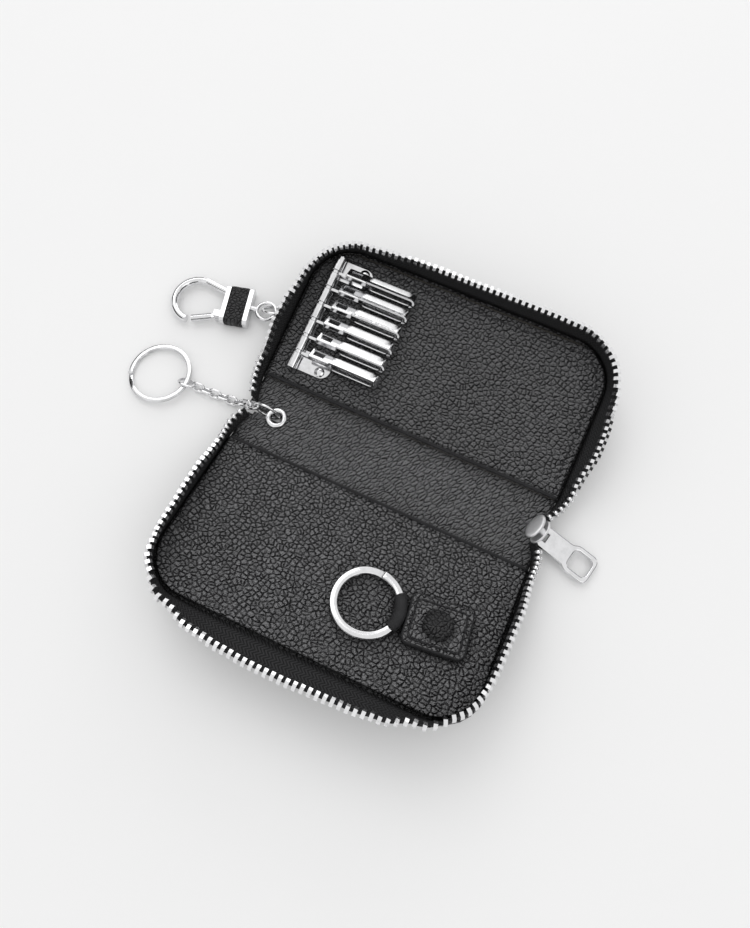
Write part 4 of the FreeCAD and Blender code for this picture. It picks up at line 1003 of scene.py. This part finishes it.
# Swivel hook: leather wrap on the collar, and the strap that carries the link ring
HOOK_HEADING = Matrix.Rotation(radians(-165.2), 4, "Z")
HOOK = Matrix.Translation((-78.872, 37.646, 2.6)) @ HOOK_HEADING
LINK = Matrix.Translation((-69.397, 40.149, 4.022)) @ HOOK_HEADING @ Matrix.Rotation(radians(45.0), 4, "X")
WRAP_SIZES = ((1.78, 0.93), (1.86, 0.965), (2.1, 0.99), (3.0, 1.0), (5.5, 0.99), (8.0, 1.0), (8.9, 0.99),
              (9.14, 0.965), (9.22, 0.93))
STRAP_ROOT = 29.0
wrap = []
for along, size in WRAP_SIZES:
    wrap.append([(along, y * size, z * size) for y, z in rounded_box(16.5, 4.9, 1.5)])
points, faces = loft(wrap)
collar = piece("collar_wrap_leather", points, faces, [DARK_PEBBLE], HOOK)
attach(collar, "swivel_hook")
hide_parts("collar_wrap")

tube = [(2.45 + x, z) for x, z in rounded_box(0.78, 2.96, 0.3, 3)]
points, faces = turned(tube, 40)
strap = piece("hook_strap_loop", points, faces, [CALF],
              LINK @ Matrix.Translation((-4.6, 0, 0)) @ Matrix.Rotation(pi / 2, 4, "X"))
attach(strap, "key_half")
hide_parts("hook_strap")
tongue = []
for along, low, high in ((-61.5, -0.4, 1.5), (-61.9, -0.9, 1.45), (-62.4, -1.5, 1.1), (-62.9, -2.0, 0.5)):
    section = rounded_box(2.9, high - low, 0.4, 3)
    tongue.append([(along, STRAP_ROOT + y, (low + high) / 2 + z) for y, z in section])
points, faces = loft(tongue)
strap_root = piece("hook_strap_tongue", points, faces, [CALF], UPPER)
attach(strap_root, "key_half")

# Slider with its two lens plates, and the pull
SLIDER_HEADING = Matrix.Rotation(radians(-12.0), 4, "Z")
SLIDER = Matrix.Translation((56.5, 0, 4.3)) @ SLIDER_HEADING @ Matrix.Rotation(radians(-48.0), 4, "Y")
PULL = Matrix.Translation((59.059, -0.544, 5.039)) @ SLIDER_HEADING @ Matrix.Rotation(radians(9.0), 4, "Y")
LENS_MIDDLE = 3.2
CROWN_STEPS = ((1.0, 3.6), (1.0, 4.2), (0.96, 4.42), (0.9, 4.52), (0.7, 4.62), (0.4, 4.7), (0.05, 4.72))
EAR_THICK = 0.75
PIN_HOLE = 0.81
PIN = 0.75
lens = [(LENS_MIDDLE + 3.15 * x, 4.95 * y * abs(y) ** 0.12) for x, y in circle(1.0, 48)]
crown = []
for share, rise in CROWN_STEPS:
    crown.append([(LENS_MIDDLE + (x - LENS_MIDDLE) * share, y * share, rise) for x, y in lens])
parts = [stamped([lens], 0.0, 1.0, 0.3), loft(crown)]
post = [(x + 4.5, y) for x, y in rounded_box(2.2, 2.2, 0.5, 3)]
parts.append(stamped([post], 0.5, 4.1, 0.1))
ear = [(0.6, 0.5), (0.7, -1.2), (1.1, -1.9), (1.7, -2.25), (2.9, -2.25), (3.5, -1.9), (3.9, -1.2), (4.0, 0.5)]
hole = circle(PIN_HOLE, 16, (2.3, -1.45))
for y in (-1.5, 0.75):
    points, faces = stamped([ear, hole], y, y + EAR_THICK, 0.12)
    parts.append(([(a, c, b) for a, b, c in points], faces))
points, faces = gather(parts)
slider = piece("zip_slider_lens", points, faces, [BRUSHED], SLIDER)
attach(slider, "spine")
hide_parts("zip_slider")

flank = [(-0.95, 3.9), (-0.6, 4.2), (10.4, 4.2), (11.4, 4.3), (13.2, 5.3), (14.4, 5.6)]
rim = [(-0.95, 1.7), (2.6, 1.7), (2.6, -1.7), (-0.95, -1.7), *((x, -y) for x, y in flank)]
rim += arc_points((19.85, -3.0), 2.6, -pi / 2, 0, 6) + arc_points((19.85, 3.0), 2.6, 0, pi / 2, 6)
rim += flank[::-1]
window = [(16.95 + x, y) for x, y in rounded_box(8.0, 7.2, 1.8)]
pin = [[(x, y, z) for x, z in circle(PIN, 14)] for y in (-2.4, 2.4)]
points, faces = gather([stamped([rim, window], -0.95, 0.95, 0.5), loft(pin)])
pull = piece("zip_pull_plate", points, faces, [METAL], PULL)
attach(pull, "pull")
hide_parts("zip_pull")

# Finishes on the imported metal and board
SHARP_NODES = ("key_hook", "key_gate", "key_row_plate", "zip_", "hook_body", "upper_zip", "lower_zip")
record_slots = {part["node"]: part["material_slot"] for part in frame["record"]["subparts"]}
for label, node in frame["nodes"].items():
    if node.hide_render:
        continue
    finish = {"bright_metal": METAL, "stiff_board": BOARD}[record_slots[label]]
    if label.endswith("_zip_teeth"):
        finish = TEETH
    if not node.material_slots:
        node.data.materials.append(finish)
    for place in node.material_slots:
        place.material = finish
    if label.startswith(SHARP_NODES):
        soften = node.modifiers.new("rounded_edges", "BEVEL")
        soften.width = 0.00014
        soften.segments = 2
        soften.limit_method = "ANGLE"
        soften.angle_limit = radians(40.0)

# Stage: floor, lamps and dark cards
bpy.ops.mesh.primitive_plane_add(size=6.0, location=(0, 0, 0))
floor = bpy.context.object
floor.name = "floor"
ground = Finish("pale_floor")
speck = ground.grain(ground.place(), 30.0, 4.0)
floor.data.materials.append(ground.skin(
    Base_Color=ground.blend(speck, (0.895, 0.895, 0.895), (0.905, 0.905, 0.905)),
    Roughness=0.7 + 0.1 * speck, Specular_IOR_Level=0.1))


def softbox(name, place, size, power):
    """A square or oblong lamp in metres and watts, aimed at the object."""
    lamp = bpy.data.lights.new(name, "AREA")
    lamp.shape = "RECTANGLE"
    lamp.size, lamp.size_y = size
    lamp.energy = power
    made = bpy.data.objects.new(name, lamp)
    bpy.context.collection.objects.link(made)
    made.location = place
    made.rotation_euler = (-Vector(place)).to_track_quat("-Z", "Y").to_euler()


softbox("main_softbox", (-1.2, 1.3, 2.0), (1.6, 1.6), 10.5)
softbox("fill_softbox", (1.5, -0.5, 1.8), (1.3, 1.3), 3.0)
softbox("back_strip", (-0.35, 1.5, 0.52), (1.5, 0.55), 2.6)


def dark_card(name, place, size):
    """A black studio card beside the object, seen only in its reflections."""
    bpy.ops.mesh.primitive_plane_add(size=1.0, location=place)
    card = bpy.context.object
    card.name = name
    card.scale = (*size, 1.0)
    card.rotation_euler = Vector(place).to_track_quat("Z", "Y").to_euler()
    card.visible_camera = False
    card.visible_diffuse = False
    card.visible_shadow = False
    card.data.materials.append(CARD)


felt = Finish("black_card")
nap = felt.grain(felt.place(), 40.0, 3.0)
CARD = felt.skin(Base_Color=felt.blend(nap, (0.01, 0.01, 0.01), (0.02, 0.02, 0.02)), Roughness=0.9)
CARD_DISTANCE = 0.7
CARD_HEIGHT = 0.33
for bearing in (0, 60, 150, 205, 300):
    heading = radians(bearing)
    spot = Vector((CARD_DISTANCE * cos(heading), CARD_DISTANCE * sin(heading), CARD_HEIGHT))
    dark_card(f"dark_card_{bearing}", spot, (0.62, 0.34))

# World: a pale room, a little brighter where it is seen than where it lights
world = bpy.context.scene.world or bpy.data.worlds.new("studio")
bpy.context.scene.world = world
sky = Finish("studio", world)
camera_ray = sky.node("ShaderNodeLightPath", out="Is Camera Ray")
rays = camera_ray.socket.node.outputs
seen = camera_ray + Tone(sky, rays["Is Glossy Ray"]) + Tone(sky, rays["Is Transmission Ray"])
seen = sky.node("ShaderNodeMath", {"operation": "MINIMUM"}, {0: seen, 1: 1.0})
shade = sky.node("ShaderNodeBackground", None,
                 {"Color": (0.93, 0.93, 0.93, 1.0), "Strength": 0.9 + 0.1 * seen})
sky.node("ShaderNodeOutputWorld", None, {"Surface": shade})

# Camera, fitted to the photo's outline
camera = bpy.data.objects.new("camera", bpy.data.cameras.new("camera"))
bpy.context.collection.objects.link(camera)
camera.data.sensor_width = 36.0
camera.data.lens = 27.47
camera.location = Vector((29.75, -77.2, 251.8)) * MM
target = Vector((-5.75, -1.38, 4.5)) * MM
camera.rotation_euler = (target - camera.location).to_track_quat("-Z", "Y").to_euler()
bpy.context.scene.camera = camera
bpy.context.scene.view_settings.view_transform = "Standard"
